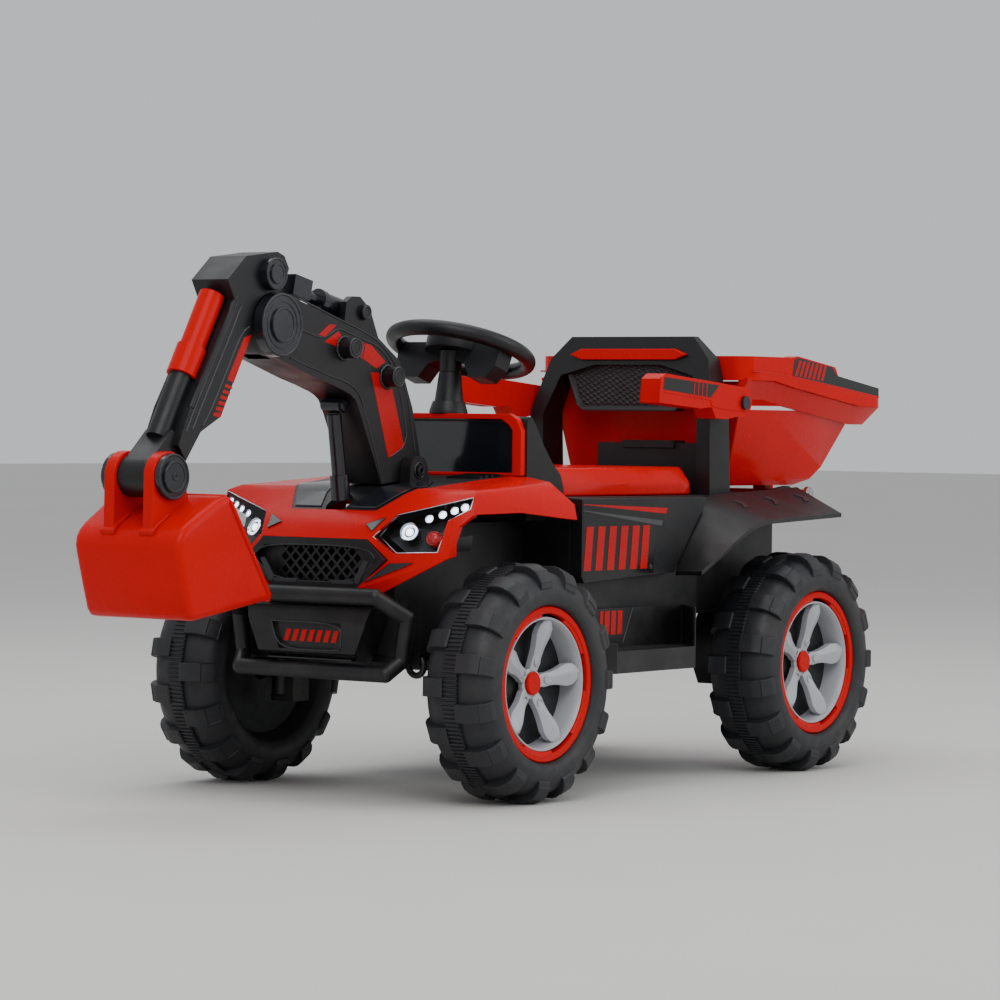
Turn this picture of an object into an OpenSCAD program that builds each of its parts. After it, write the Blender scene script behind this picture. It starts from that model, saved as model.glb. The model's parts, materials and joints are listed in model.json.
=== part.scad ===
// A child's ride-on digger: a battery car with a three-piece digging arm on the hood, a seat
// with a back frame and fold-up armrests, and a tipping dump bed behind it.
// The front of the vehicle faces -Y, its left side is +X and the ground is z = 0.
// Inside the modules, y is measured from the front axle. The painted() module moves everything
// by frame_y, so that the whole vehicle is centred on the origin.

/* [Wheels] */
// radius over the tread lugs
wheel_r = 130; // [110:1:150]
// distance between the front and the rear axle
wheel_base = 555; // [500:1:620]
// distance from the middle plane to a wheel's centre plane
track_half = 191; // [180:1:210]
// lugs on each side of a tyre
lug_count = 15; // [10:1:18]
// radius of the steel axles
axle_r = 6; // [5:0.5:8]
// turn of the five spokes on the axle
spoke_turn = 26; // [0:1:71]

/* [Body] */
// half width of the narrow front of the chassis, between the front wheels
nose_half = 88; // [70:1:92]
// half width of the seat
seat_half = 126; // [110:1:130]
// thickness of the moulded shells
shell_t = 4; // [2:0.5:6]
// wheelbase line to the back of the dump bed
bed_back_y = 833; // [800:1:850]
// foremost point of the bucket
bucket_front_y = -428; // [-460:1:-400]

/* [Steering] */
// backward lean of the steering column
column_lean = 3; // [0:1:10]
// tilt of the steering wheel's rim, its front edge up
rim_tilt = 18; // [10:1:25]
// radius of the steering wheel to the middle of its rim
steering_r = 78; // [60:1:85]
// length of the crank at the foot of the column
crank_r = 30; // [20:1:35]
// length of a steering arm, from kingpin to tie rod pin
arm_r = 50; // [40:1:55]

/* [Digging arm] */
// half width of the boom
boom_half = 26; // [20:0.5:30]
// half width of the stick
stick_half = 25; // [18:0.5:28]
// radius of the pin between boom and stick
stick_pin_r = 8; // [6:0.5:10]
// radius of the small pins
small_pin_r = 5; // [4:0.5:6]

/* [Clearances] */
// radial gap between a turning part and its pin
run_fit = 0.05; // [0.02:0.01:0.1]
// extra radius in a hole that is left open so that a linkage can close
open_fit = 3; // [1:0.5:4]

/* [Hidden] */
$fn = 64;
frame_y = -(bed_back_y + bucket_front_y) / 2;
axle_z = wheel_r - 0.4;
kingpin_x = 138;
// underside of the flat tie rod
tie_z = 138;
// middle of the steering wheel's rim, and a point high on the column's axis
rim_mid = [0, 144.3, 493.5];
column_top = [0, 125, 475];
// the pivots of the arm, as [y, z]
boom_pivot = [15, 357];
stick_pivot = [-223, 512];
rod_pivot = [-228, 566];
barrel_pivot = [-64, 530];
bucket_pivot = [-397, 352];
strut_head = [-86, 428];
strut_head_r = 8.4;
strut_foot = [-72, 325];
armrest_pivot = [495, 438];
bed_pivot = [680, 328];
pedal_pivot = [252, 165];
cylinder_len = norm(rod_pivot - barrel_pivot);
cylinder_tilt = atan2(rod_pivot[1] - barrel_pivot[1], barrel_pivot[0] - rod_pivot[0]);
red = [0.82, 0.02, 0.04];
black = [0.07, 0.07, 0.08];
dark = [0.12, 0.13, 0.15];
silver = [0.72, 0.73, 0.75];

// ---------- helpers ----------

// one sub-part: its colour, and the move into the vehicle's frame
module painted(c) {
    translate([0, frame_y, 0]) color(c) children();
}

// a side view outline (y, z) given thickness from x0 to x1
module side_extrude(x0, x1) {
    translate([x0, 0, 0]) rotate([90, 0, 90]) linear_extrude(x1 - x0) children();
}

// a front view outline (x, z) given depth from y0 to y1
module front_extrude(y0, y1) {
    translate([0, y1, 0]) rotate([90, 0, 0]) linear_extrude(y1 - y0) children();
}

// the child and its mirror image across the middle plane
module both_sides() {
    children();
    mirror([1, 0, 0]) children();
}

// a round bar along X at side view point p
module cross_bar(p, r, x0, x1) {
    translate([x0, p[0], p[1]]) rotate([0, 90, 0]) cylinder(r = r, h = x1 - x0);
}

// a round bar between two points
module bar(a, b, r) {
    d = b - a;
    translate(a) rotate([0, acos(d[2] / norm(d)), atan2(d[1], d[0])]) cylinder(r = r, h = norm(d));
}

// a round bar that follows a list of points, with ball corners
module bent_bar(points, r) {
    for (i = [0 : len(points) - 2]) bar(points[i], points[i + 1], r);
    for (i = [1 : len(points) - 2]) translate(points[i]) sphere(r = r + 0.1);
}

// a rectangle with round corners, drawn from x0, y0 to x1, y1
module round_rect(x0, y0, x1, y1, r) {
    translate([x0 + r, y0]) square([x1 - x0 - 2 * r, y1 - y0]);
    translate([x0, y0 + r]) square([x1 - x0, y1 - y0 - 2 * r]);
    for (x = [x0 + r, x1 - r], y = [y0 + r, y1 - r]) translate([x, y]) circle(r = r);
}

// ---------- wheels ----------

// local frame of a wheel: z runs outward along the axle; s is 1 on the left, -1 on the right
module wheel_place(s, y) {
    translate([s * track_half, y, axle_z]) rotate([0, s * 90, 0]) children();
}

module tread_lug() {
    rotate([90, 0, 0]) linear_extrude(20, center = true)
        polygon([[114, 8], [wheel_r - 0.4, 8], [wheel_r - 0.4, 30], [125, 39], [113, 45],
                 [106, 45], [101, 40], [110, 29]]);
}

module tyre() {
    r0 = axle_r + run_fit;
    difference() {
        union() {
            rotate_extrude()
                polygon([[2, -30], [18, -30], [18, -4], [82, -4], [86, -41], [92, -43.5],
                         [104, -43.5], [113, -40], [119, -31], [121, -20], [121, -10],
                         [127, -10], [127, 10], [121, 10], [121, 20], [119, 31], [113, 40],
                         [104, 43.5], [92, 43.5], [87, 42], [84.5, 38.5], [84.5, 6], [18, 6],
                         [18, 9], [2, 9]]);
            for (i = [0 : lug_count - 1]) {
                rotate(i * 360 / lug_count) tread_lug();
                rotate((i + 0.5) * 360 / lug_count) mirror([0, 0, 1]) tread_lug();
            }
        }
        translate([0, 0, -40]) cylinder(r = r0, h = 60);
    }
}

// the red bead ring with five steps inside it, and the red hub cap
module wheel_trim() {
    rotate_extrude()
        polygon([[76.5, 28], [84.5, 28], [84.5, 36.5], [83.4, 37.6], [77.5, 37.6],
                 [76.5, 36.5]]);
    for (i = [0 : 4]) rotate(72 * i + spoke_turn + 16)
        rotate_extrude(angle = 40) polygon([[73, 28], [77, 28], [77, 36.5], [73, 35.5]]);
    rotate_extrude() polygon([[0, 16], [12.7, 16], [12.7, 20.2], [11.2, 21.5], [0, 21.5]]);
}

// the silver cover: a rim lip and five spokes with a nut hole each
module wheel_cover() {
    rotate_extrude() polygon([[68, 6], [73, 6], [73, 33], [71, 35], [68, 24]]);
    difference() {
        union() {
            translate([0, 0, 12]) cylinder(r = 17, h = 5);
            for (i = [0 : 4]) rotate(72 * i + spoke_turn) intersection() {
                rotate([90, 0, 0]) linear_extrude(30, center = true)
                    polygon([[14, 13], [14, 20], [17.5, 20], [64, 32], [70, 30], [70, 21],
                             [28, 13]]);
                linear_extrude(40)
                    polygon([[14, -7.2], [28, -7.5], [54, -12], [62, -11], [70, -6], [70, 6],
                             [62, 11], [54, 12], [28, 7.5], [14, 7.2]]);
            }
        }
        for (i = [0 : 4]) rotate(72 * i + spoke_turn) translate([22.5, 0, 10])
            cylinder(r = 3, h = 20);
        translate([0, 0, 16]) cylinder(r = 12.7, h = 8);
    }
}

module tyre_fl() painted(black) wheel_place(1, 0) tyre();
module tyre_fr() painted(black) wheel_place(-1, 0) tyre();
module tyre_rl() painted(black) wheel_place(1, wheel_base) tyre();
module tyre_rr() painted(black) wheel_place(-1, wheel_base) tyre();
module wheel_trim_fl() painted(red) wheel_place(1, 0) wheel_trim();
module wheel_trim_fr() painted(red) wheel_place(-1, 0) wheel_trim();
module wheel_trim_rl() painted(red) wheel_place(1, wheel_base) wheel_trim();
module wheel_trim_rr() painted(red) wheel_place(-1, wheel_base) wheel_trim();
module wheel_cover_fl() painted(silver) wheel_place(1, 0) wheel_cover();
module wheel_cover_fr() painted(silver) wheel_place(-1, 0) wheel_cover();
module wheel_cover_rl() painted(silver) wheel_place(1, wheel_base) wheel_cover();
module wheel_cover_rr() painted(silver) wheel_place(-1, wheel_base) wheel_cover();

// ---------- axles and steering ----------

module rear_axle() painted(silver)
    cross_bar([wheel_base, axle_z], axle_r, -track_half - 11, track_half + 11);

module gearboxes() painted(black) both_sides() difference() {
    union() {
        side_extrude(86, 126)
            polygon([[515, 100], [590, 100], [600, 118], [600, 170], [585, 188], [515, 188],
                     [505, 170], [505, 118]]);
        cross_bar([530, axle_z + 20], 20, 40, 87);
        cross_bar([wheel_base, axle_z], 18, 125, 158);
    }
    cross_bar([wheel_base, axle_z], axle_r, 30, 170);
}

module front_axle_beam() painted(black) union() {
    translate([-118, -14, 138]) cube([236, 28, 12]);
    both_sides() {
        translate([112, -14, 94]) cube([11.5, 28, 70]);
        for (z = [94, 158.6]) {
            translate([117, -14, z]) cube([kingpin_x - 117, 28, 6.4]);
            translate([kingpin_x, 0, z]) cylinder(r = 14, h = 6.4);
        }
        translate([kingpin_x, 0, 96]) cylinder(r = axle_r, h = 66);
    }
}

// kingpin barrel, stub axle and steering arm of the left side
module knuckle() {
    difference() {
        union() {
            translate([kingpin_x, 0, 101]) cylinder(r = 13, h = 57);
            cross_bar([0, axle_z], 11, kingpin_x, 160.4);
            translate([130, 0, tie_z - 9]) cube([16, arm_r, 8]);
            translate([kingpin_x, arm_r, tie_z - 9]) cylinder(r = 8, h = 8);
        }
        translate([kingpin_x, 0, 90]) cylinder(r = axle_r + run_fit, h = 80);
    }
    cross_bar([0, axle_z], axle_r, kingpin_x + 9, track_half + 11);
    translate([kingpin_x, arm_r, tie_z - 9]) cylinder(r = 4, h = 22);
}

module knuckle_l() painted(dark) knuckle();
module knuckle_r() painted(dark) mirror([1, 0, 0]) knuckle();

// a flat rod between the steering arms, with a slotted tongue for the crank's pin;
// the hole on the right is left open
module tie_rod() painted(silver) difference() {
    union() {
        translate([-kingpin_x, arm_r - 6, tie_z]) cube([2 * kingpin_x, 12, 6]);
        for (x = [-kingpin_x, kingpin_x]) translate([x, arm_r, tie_z]) cylinder(r = 10, h = 6);
        translate([-14, arm_r, tie_z]) cube([28, 102, 6]);
    }
    translate([kingpin_x, arm_r, tie_z - 10]) cylinder(r = 4 + run_fit, h = 30);
    translate([-kingpin_x, arm_r, tie_z - 10]) cylinder(r = 5, h = 30);
    translate([-5.4, 129, tie_z - 10]) cube([10.8, 17, 30]);
}

// local frame of the steering column: z runs up along its axis from column_top
module on_column() {
    translate(column_top) rotate([-column_lean, 0, 0]) children();
}

// local frame of the steering wheel: z = 0 is the middle plane of its rim
module on_rim() {
    translate(rim_mid) rotate([-rim_tilt, 0, 0]) children();
}

// the column's steel rod, bent into a crank and a pin at its foot
module steering_shaft() painted(silver) on_column() union() {
    foot = -(column_top[2] - tie_z - 20) / cos(column_lean);
    bent_bar([[0, 0, 12], [0, 0, foot], [0, crank_r, foot], [0, crank_r, foot - 18]], 4);
}

// a rim with a switch box on each side of the hub, and a spoke toward the rider
module steering_wheel() painted(black) difference() {
    union() {
        on_rim() {
            rotate_extrude() translate([steering_r, 0]) circle(r = 9);
            both_sides() front_extrude(-22, 3)
                polygon([[0, 2], [0, -16], [26, -24], [36, -40], [58, -40], [70, -26], [73, 2]]);
            translate([0, -4, -8]) cylinder(r = 38, h = 14);
            translate([-19, 28, -7]) cube([38, 44, 10]);
        }
        on_column() translate([0, 0, -7]) cylinder(r = 12.7, h = 24);
    }
    on_column() translate([0, 0, -8]) cylinder(r = 4, h = 20.5);
    on_rim() translate([0, 0, 1.5]) cylinder(r = 24.5, h = 10);
}

module horn_pad() painted(dark) on_rim()
    rotate_extrude() polygon([[0, 5.5], [24, 5.5], [24, 9], [21, 11.5], [0, 12.5]]);

// ---------- chassis ----------

module chassis_tub() painted(black) difference() {
    union() {
        // narrow nose between the front wheels
        translate([-nose_half, -88, 150]) cube([2 * nose_half, 242, 150]);
        // cross member that carries the bumper and the tow ring
        translate([-108, -92, 158]) cube([216, 8, 60]);
        both_sides() translate([84, -90, 148]) cube([40, 12, 14]);
        // wide middle under the seat
        translate([-150, 150, 150]) cube([300, 262, 178]);
        // tail between the rear wheels
        translate([-128, 408, 188]) cube([256, 204, 140]);
        translate([-147.5, 408, 323]) cube([295, 222, 5]);
        // arms that carry the bed's pivot rod
        both_sides() side_extrude(100, 108) {
            polygon([[606, 300], [680, bed_pivot[1] - 9], [680, bed_pivot[1] + 9], [606, 328]]);
            translate(bed_pivot) circle(r = 9);
        }
        // rest pads under the dump bed
        for (x = [-80, 80]) translate([x - 15, 535, 327]) cube([30, 20, 10.4]);
    }
    // the hollow undersides
    translate([shell_t - nose_half, shell_t - 84, 140])
        cube([2 * (nose_half - shell_t), 240, 156]);
    translate([shell_t - 150, 154, 140]) cube([2 * (150 - shell_t), 258 - shell_t, 184]);
    translate([shell_t - 128, 412, 180]) cube([2 * (128 - shell_t), 196, 142]);
    // room for the lamps at the top of the nose
    translate([-nose_half - 1, -89, 262]) cube([2 * nose_half + 2, 29, 40]);
    // hole for the steering shaft
    on_column() translate([0, 0, -200]) cylinder(r = 9, h = 60);
    ring_shape(0.05);
    cross_bar(bed_pivot, small_pin_r, -120, 120);
}

module bed_pivot_rod() painted(silver) union() {
    cross_bar(bed_pivot, small_pin_r, -142, 142);
    both_sides() cross_bar(bed_pivot, 8.5, 134, 139);
}

// a loop of round bar in front of the skid plate
module bumper_bar() painted(black) {
    left = [[98, -136, 223], [117, -103, 200], [110, -103, 154], [101, -120, 139.5]];
    right = [for (i = [3 : -1 : 0]) [-left[i][0], left[i][1], left[i][2]]];
    bent_bar(concat(left, right, [left[0]]), 9);
    translate(left[0]) sphere(r = 9.1);
}

module skid_plate() painted(black) difference() {
    intersection() {
        front_extrude(-131, -92)
            polygon([[-86, 210], [-80, 190], [-66, 157], [-58, 149], [58, 149], [66, 157],
                     [80, 190], [86, 210]]);
        side_extrude(-100, 100)
            polygon([[-126.5, 210], [-131, 196], [-131, 160], [-110, 149], [-92, 149],
                     [-92, 210]]);
    }
    // recess of the blank plate
    front_extrude(-140, -127)
        polygon([[-48, 192], [-38, 163], [46, 163], [48, 168], [48, 192]]);
    // hollow back
    front_extrude(-124, -90)
        polygon([[-76, 206], [-58, 152], [58, 152], [76, 206]]);
}

// the ring that hangs from the cross member, thicker by k
module ring_shape(k) {
    translate([115.3, -84, 147.8]) rotate([90, 0, 0])
        rotate_extrude() translate([10.3, 0]) circle(r = 3.5 + k);
}

module tow_ring() painted(black) ring_shape(0);

// ---------- hood ----------

// the outer corners of the right-hand half of the faceted hood, front to back
hood_corners = [
    [58, -124, 228], [76, -111, 221], [95, -106, 262], [73, -118, 283], [76, -115, 287],
    [101, -105, 268.5], [160, -89, 265], [164, -75, 299], [175, -64, 312], [174, -58, 332],
    [163, -46, 338], [60, -88, 312], [91, -88, 312], [94, -34, 331], [104, 50, 348],
    [106, 111, 352], [118, 112, 351], [150, 112, 345.5], [164, 140, 321], [168, 140, 304],
    [172, 28, 312]
];
hood_core = [0, 60, 240];

// the convex body of the hood, its skin moved inward by t (outward if t is negative)
module hood_body(t) {
    translate(hood_core) scale([1 - t / 172, 1 - t / 170, 1 - t / 105])
        hull() for (p = hood_corners, s = [-1, 1])
            translate([s * p[0], p[1], p[2]] - hood_core) cube(0.01, center = true);
}

// the skin of the hood between two depths
module hood_skin(t0, t1) {
    difference() {
        hood_body(t0);
        hood_body(t1);
    }
}

module grille_outline(k) {
    polygon([[-96 + k, 262], [-73 + k / 2, 284 - k], [73 - k / 2, 284 - k], [96 - k, 262],
             [58 - k / 2, 227 + k], [-58 + k / 2, 227 + k]]);
}

module headlight_outline(k) {
    polygon([[77 + k, 287], [92 + k / 2, 311 - k], [172 - k, 331 - k], [172 - k, 318 + k / 2],
             [151 - k, 305], [148 - k, 271 + k], [102 + k / 2, 269 + k]]);
}

module deck_outline(k) {
    polygon([[-59 + k, -85 + k], [59 - k, -85 + k], [93 - k, -34 + k / 2], [103 - k, 50],
             [105 - k, 100 - k], [-105 + k, 100 - k], [-103 + k, 50], [-93 + k, -34 + k / 2]]);
}

module hood() painted(red) difference() {
    hood_body(0);
    // the hollow inside, open below and behind
    hull() {
        hood_body(shell_t);
        translate([0, 30, -60]) hood_body(shell_t);
    }
    translate([-118.2, 111.8, 250]) cube([236.4, 60, 120]);
    // wheel arches behind the nose
    both_sides() side_extrude(nose_half, 200)
        polygon([[-66, 180], [-66, 299], [-58, 312], [28, 313], [120, 305], [150, 303],
                 [150, 180]]);
    // lower edge of the nose, rising outward
    both_sides() front_extrude(-140, -50)
        polygon([[76, 221], [160, 265], [164, 299], [176, 312.5], [220, 312.5], [220, 200],
                 [76, 200]]);
    translate([-120, -140, 150]) cube([240, 60, 71]);
    front_extrude(-140, -60) grille_outline(0);
    both_sides() front_extrude(-140, -40) headlight_outline(0);
    translate([0, 0, 280]) linear_extrude(100) deck_outline(0);
}

// a frame with a diagonal mesh set back in it
module grille() painted(black) {
    difference() {
        front_extrude(-118, -98) grille_outline(0.4);
        front_extrude(-120, -96) grille_outline(9);
    }
    front_extrude(-106, -101) difference() {
        grille_outline(8);
        for (i = [-6 : 6], j = [-6 : 6])
            if (abs(i + j) < 8 && abs(i - j) < 4)
                translate([7.2 * (i + j), 255 + 7.2 * (i - j)]) rotate(45) square(7, center = true);
    }
}

// the black panel on the hood with the ears and the pin that carry the boom
module hood_deck() painted(black) difference() {
    union() {
        intersection() {
            hood_skin(0, shell_t + 1);
            translate([0, 0, 280]) linear_extrude(100) deck_outline(0.2);
        }
        both_sides() {
            side_extrude(27, 41) {
                translate(boom_pivot) circle(r = 16);
                polygon([[-3, 334], [35, 340], [31, boom_pivot[1]], [-1, boom_pivot[1]]]);
            }
            for (i = [0 : 3]) translate([48, 56 + 11 * i, 343.5 + i]) cube([46, 5, 7.5]);
            cross_bar(boom_pivot, 6.5, 40, 44);
        }
    }
    cross_bar(boom_pivot, small_pin_r, -50, 50);
    // slot under the foot of the boom and hole under the strut
    cross_bar(boom_pivot, 23, -26.6, 26.6);
    translate([0, strut_foot[0] - 3, 290]) cylinder(r = 15, h = 60);
}

// glossy plates on the deck and dark triangles beside the headlights
module hood_trims() painted(dark) intersection() {
    hood_skin(-1.6, 0);
    both_sides() union() {
        translate([0, 0, 280]) linear_extrude(100)
            polygon([[57, -82], [90, -34], [62, 14], [44, -8], [30, -60], [20, -82]]);
        front_extrude(-140, -80) polygon([[59, 300], [73, 292.5], [80, 308]]);
        front_extrude(-140, -80) polygon([[70, 237], [98, 258.5], [124, 260], [112, 254]]);
    }
}

// local frame on a headlight: z runs out through the lens at a point of its face
module on_headlight(p) {
    translate(p) rotate([0, 66.5, -75.8]) children();
}

module headlight_bezels() painted(black) intersection() {
    hood_skin(19, 22);
    both_sides() front_extrude(-140, -30) headlight_outline(0.3);
}

module headlight_lenses() painted([0.8, 0.85, 0.9, 0.35]) intersection() {
    hood_skin(0.2, 1.8);
    both_sides() front_extrude(-140, -40) headlight_outline(0.3);
}

// one round reflector and a row of four small lamps on each side
module headlight_leds() painted(silver) both_sides() {
    on_headlight([108.6, -91.6, 293.4]) translate([0, 0, -12]) cylinder(r = 9.5, h = 8);
    for (p = [[127, -80.5, 307.7], [140.9, -75, 312.3], [153.1, -69.9, 316.8],
              [164, -66, 320.5]])
        on_headlight(p) translate([0, 0, -11]) cylinder(r = 3.6, h = 7);
}

module turn_lamps() painted(red) both_sides()
    on_headlight([137, -86.9, 287.7]) translate([0, 0, -12]) cylinder(r = 7.8, h = 8);

// ---------- windscreen and dash ----------

module screen_outline(k) {
    polygon([[-116 + k, 352 + k / 4], [116 - k, 352 + k / 4], [116 - k, 402], [110 - k, 415 - k / 2],
             [100 - k, 421 - k / 2], [-100 + k, 421 - k / 2], [-110 + k, 415 - k / 2],
             [-116 + k, 402]]);
}

module windscreen_frame() painted(red) difference() {
    front_extrude(103, 112) screen_outline(0);
    front_extrude(100, 115) screen_outline(12);
    front_extrude(108.8, 115) screen_outline(5.6);
}

module windscreen() painted(dark)
    front_extrude(109, 112) screen_outline(6);

// the cover behind the windscreen, with the tube and the collar of the steering column
module dash_cowl() painted(black) difference() {
    union() {
        side_extrude(-118, 118)
            polygon([[112, 302], [112, 410], [115, 416], [120, 418], [128, 410], [146, 384],
                     [160, 368], [178, 352], [184, 336], [184, 328.3], [149.7, 328.3],
                     [149.7, 302]]);
        side_extrude(-58, 58)
            polygon([[112, 340], [112, 420], [150, 418], [168, 398], [184, 336]]);
        on_column() {
            translate([0, 0, -62]) cylinder(r = 22, h = 10);
            translate([0, 0, -52]) cylinder(r1 = 22, r2 = 18.5, h = 11);
            translate([0, 0, -41]) cylinder(r1 = 16.5, r2 = 12.5, h = 33.4);
        }
    }
    // the collar stands above the windscreen
    translate([-30, 90, 400]) cube([60, 22, 21.3]);
    side_extrude(-114, 114)
        polygon([[116, 300], [116, 408], [119, 413], [126, 406], [142, 381], [157, 365],
                 [174, 350], [180, 335], [180, 320], [149, 320], [149, 300]]);
    on_column() {
        translate([0, 0, -80]) cylinder(r = 4 + run_fit, h = 80);
        translate([0, 0, -190]) cylinder(r = 6, h = 128);
    }
}

// ---------- sides ----------

module panel_outline(k) {
    polygon([[154 + k, 327 - k], [408 - 2 * k, 327 - k], [408 - 2 * k, 322], [341 - k, 240 + k],
             [160 + k, 232 + k], [154 + k, 240 + k]]);
}

module side_panels() painted(black) both_sides() difference() {
    side_extrude(150, 165) panel_outline(0);
    side_extrude(149, 161) panel_outline(5);
}

// one tray step with a ribbed tread, raised ends and lugs for a pedal if there is one
module step_tray(pedal_lugs) {
    difference() {
        translate([0, 0, 132]) linear_extrude(70)
            polygon([[150, 152], [190, 152], [205, 168], [205, 328], [160, 376], [150, 376]]);
        translate([0, 0, 157]) linear_extrude(60)
            polygon([[157, 156], [188, 156], [202, 170], [215, 170], [215, 326], [202, 326],
                     [157, 371]]);
        // the front wall is low
        translate([157, 140, 166]) cube([60, 60, 60]);
    }
    for (i = [0 : 4]) translate([164 + 8 * i, 172, 156]) cube([3, 150, 2.4]);
    if (pedal_lugs) for (x = [162.5, 197])
        side_extrude(x, x + 4.5) difference() {
            union() {
                translate(pedal_pivot) circle(r = 6);
                translate([pedal_pivot[0] - 6, 156]) square([12, pedal_pivot[1] - 156]);
            }
            translate(pedal_pivot) circle(r = 3 + run_fit);
        }
}

module side_steps() painted(black) {
    step_tray(false);
    mirror([1, 0, 0]) step_tray(true);
}

// the accelerator on the right step, hinged at the heel
module pedal() painted(dark) union() {
    side_extrude(-196, -168) {
        polygon([[250, 161.5], [253, 168.4], [184, 194], [181, 188]]);
        translate(pedal_pivot) circle(r = 5);
    }
    cross_bar(pedal_pivot, 3, -202, -162);
}

// the flared rear fender of one side: a top plate and a front facet
module rear_fender() {
    top = [[150, 412.6, 328], [165, 413, 326], [212, 449, 299], [212, 636, 306], [150, 632, 337]];
    facet = [[165, 344, 241], [165, 413, 326], [212, 449, 299], [212, 328, 243]];
    for (quad = [top, facet])
        hull() for (p = quad, d = [[0, 0, 0], [-2, 2, -4]])
            translate(p + d) cube(0.4, center = true);
}

module rear_fenders() painted(black) both_sides() rear_fender();

// ---------- seat ----------

module seat_plan(k) {
    front = [[110, 184 + k], [seat_half - 8, 226], [seat_half, 300], [seat_half, 418]];
    back = [[seat_half - 3, 436 - k / 2], [seat_half - 12, 448 - k / 2], [100, 456 - k]];
    half = [for (p = concat(front, back)) [p[0] - k, p[1]]];
    polygon(concat(half, [for (i = [len(half) - 1 : -1 : 0]) [-half[i][0], half[i][1]]]));
}

module seat() painted(red) difference() {
    hull() {
        translate([0, 0, 328]) linear_extrude(14) seat_plan(0);
        translate([0, 0, 358]) linear_extrude(3) seat_plan(11);
    }
    translate([0, 0, 320]) linear_extrude(34) seat_plan(14);
}

module back_outline() {
    polygon([[-132, 328], [-131, 430], [-115, 490], [-89, 517], [89, 517], [115, 490],
             [131, 430], [132, 328]]);
}

module back_opening() {
    polygon([[-112, 320], [-112, 425], [-96, 470], [-48, 483], [48, 483], [96, 470],
             [112, 425], [112, 320]]);
}

module strip_outline(k) {
    polygon([[-85 - k, 495], [-68, 502 + k], [68, 502 + k], [85 + k, 495], [68, 489 - k],
             [-68, 489 - k]]);
}

// two posts that lean back at the top, joined by the head of the seat back
module seat_back_frame() painted(black) difference() {
    intersection() {
        front_extrude(400, 600) back_outline();
        side_extrude(-200, 200)
            polygon([[465, 328], [465, 420], [492, 517], [502, 517], [508, 490], [506, 430],
                     [510, 328]]);
    }
    front_extrude(400, 600) back_opening();
    front_extrude(400, 492) strip_outline(0.3);
    both_sides() cross_bar(armrest_pivot, small_pin_r, 118, 150);
}

module seat_back_strip() painted(red)
    front_extrude(481, 492) strip_outline(0);

// a quilted cushion in a rolled border, hung from the head of the frame
module seat_back_pad() painted(black)
    front_extrude(488, 501)
        polygon([[-92, 471], [-48, 483], [48, 483], [92, 471], [78, 434], [68, 427],
                 [-68, 427], [-78, 434]]);

module battery_box() painted(black) union() {
    translate([-50, 494, 328]) cube([155, 20, 61]);
    translate([-12, 490, 383]) cube([75, 25, 9]);
}

module armrest() {
    difference() {
        side_extrude(133, 160)
            polygon([[313, 436], [402, 430], [424, 432], [434, 419], [456, 418], [478, 421],
                     [496, 421], [508, 427], [513, 438], [510, 451], [502, 456], [326, 470],
                     [316, 464]]);
        cross_bar(armrest_pivot, small_pin_r + run_fit, 120, 170);
        // finger recess below
        translate([140, 330, 425]) cube([13, 66, 28]);
    }
}

module armrest_l() painted(red) armrest();
module armrest_r() painted(red) mirror([1, 0, 0]) armrest();

module armrest_bolts() painted(dark) both_sides() {
    cross_bar(armrest_pivot, small_pin_r, 118, 161);
    cross_bar(armrest_pivot, 8, 160.6, 164);
}

// ---------- dump bed ----------

// the tapering body of the bed, its skin moved inward by t
module bed_body(t, top) {
    hull() for (s = [-1, 1]) {
        translate([s * (112 - t), 530 + t, 338 + t]) sphere(r = 2, $fn = 8);
        translate([s * (112 - t), 684, 338 + t]) sphere(r = 2, $fn = 8);
        translate([s * (116 - t), 718 - t / 2, 345 + t]) sphere(r = 2, $fn = 8);
        translate([s * (120 - t), 738 - t, 360 + t / 2]) sphere(r = 2, $fn = 8);
        translate([s * (141 - t), 811 - t, top]) sphere(r = 2, $fn = 8);
        translate([s * (141 - t), 524 + t, top]) sphere(r = 2, $fn = 8);
    }
}

module rim_side() {
    polygon([[512, 494], [616, 494], [626, 496], [714, 484], [722, 472], [bed_back_y - 4, 458],
             [bed_back_y, 448], [bed_back_y, 436], [772, 436], [612, 458], [570, 465],
             [512, 465]]);
}

module rim_band() {
    polygon([[512, 475], [550, 475], [616, 470], [bed_back_y, 446], [bed_back_y, 436],
             [772, 436], [612, 458], [570, 465], [512, 465]]);
}

module dump_bed() painted(red) difference() {
    union() {
        bed_body(2, 462);
        intersection() {
            union() {
                side_extrude(-153, 153) rim_side();
                side_extrude(-156, 156) rim_band();
            }
            translate([0, 0, 400]) linear_extrude(120)
                round_rect(-156, 512, 156, bed_back_y, 26);
        }
        both_sides() side_extrude(62, 80) {
            translate(bed_pivot) circle(r = 9);
            translate([bed_pivot[0] - 9, bed_pivot[1]]) square([18, 14]);
        }
    }
    bed_body(6, 463);
    translate([0, 0, 430]) linear_extrude(80) round_rect(-137, 526, 137, 806, 20);
    // the underside of the overhanging rim
    translate([0, 0, 425]) linear_extrude(30) difference() {
        round_rect(-152, 516, 152, bed_back_y - 4, 24);
        round_rect(-140, 524, 140, 811, 20);
    }
    cross_bar(bed_pivot, small_pin_r + run_fit, 40, 100);
    cross_bar(bed_pivot, small_pin_r + run_fit, -100, -40);
}

// ---------- digging arm ----------

module boom_side() {
    translate(stick_pivot) circle(r = 33);
    translate(boom_pivot) circle(r = 21);
    polygon([[-240, 484], [-216, 543.5], [-190, 541.5], [-46, 505], [-3, 478], [21, 426],
             [36, 372], [33, 348.5], [-4, 345], [-34, 342], [-76, 426], [-82, 434.5],
             [-90, 439.5], [-99, 443], [-123, 450], [-149, 456.5]]);
}

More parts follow.
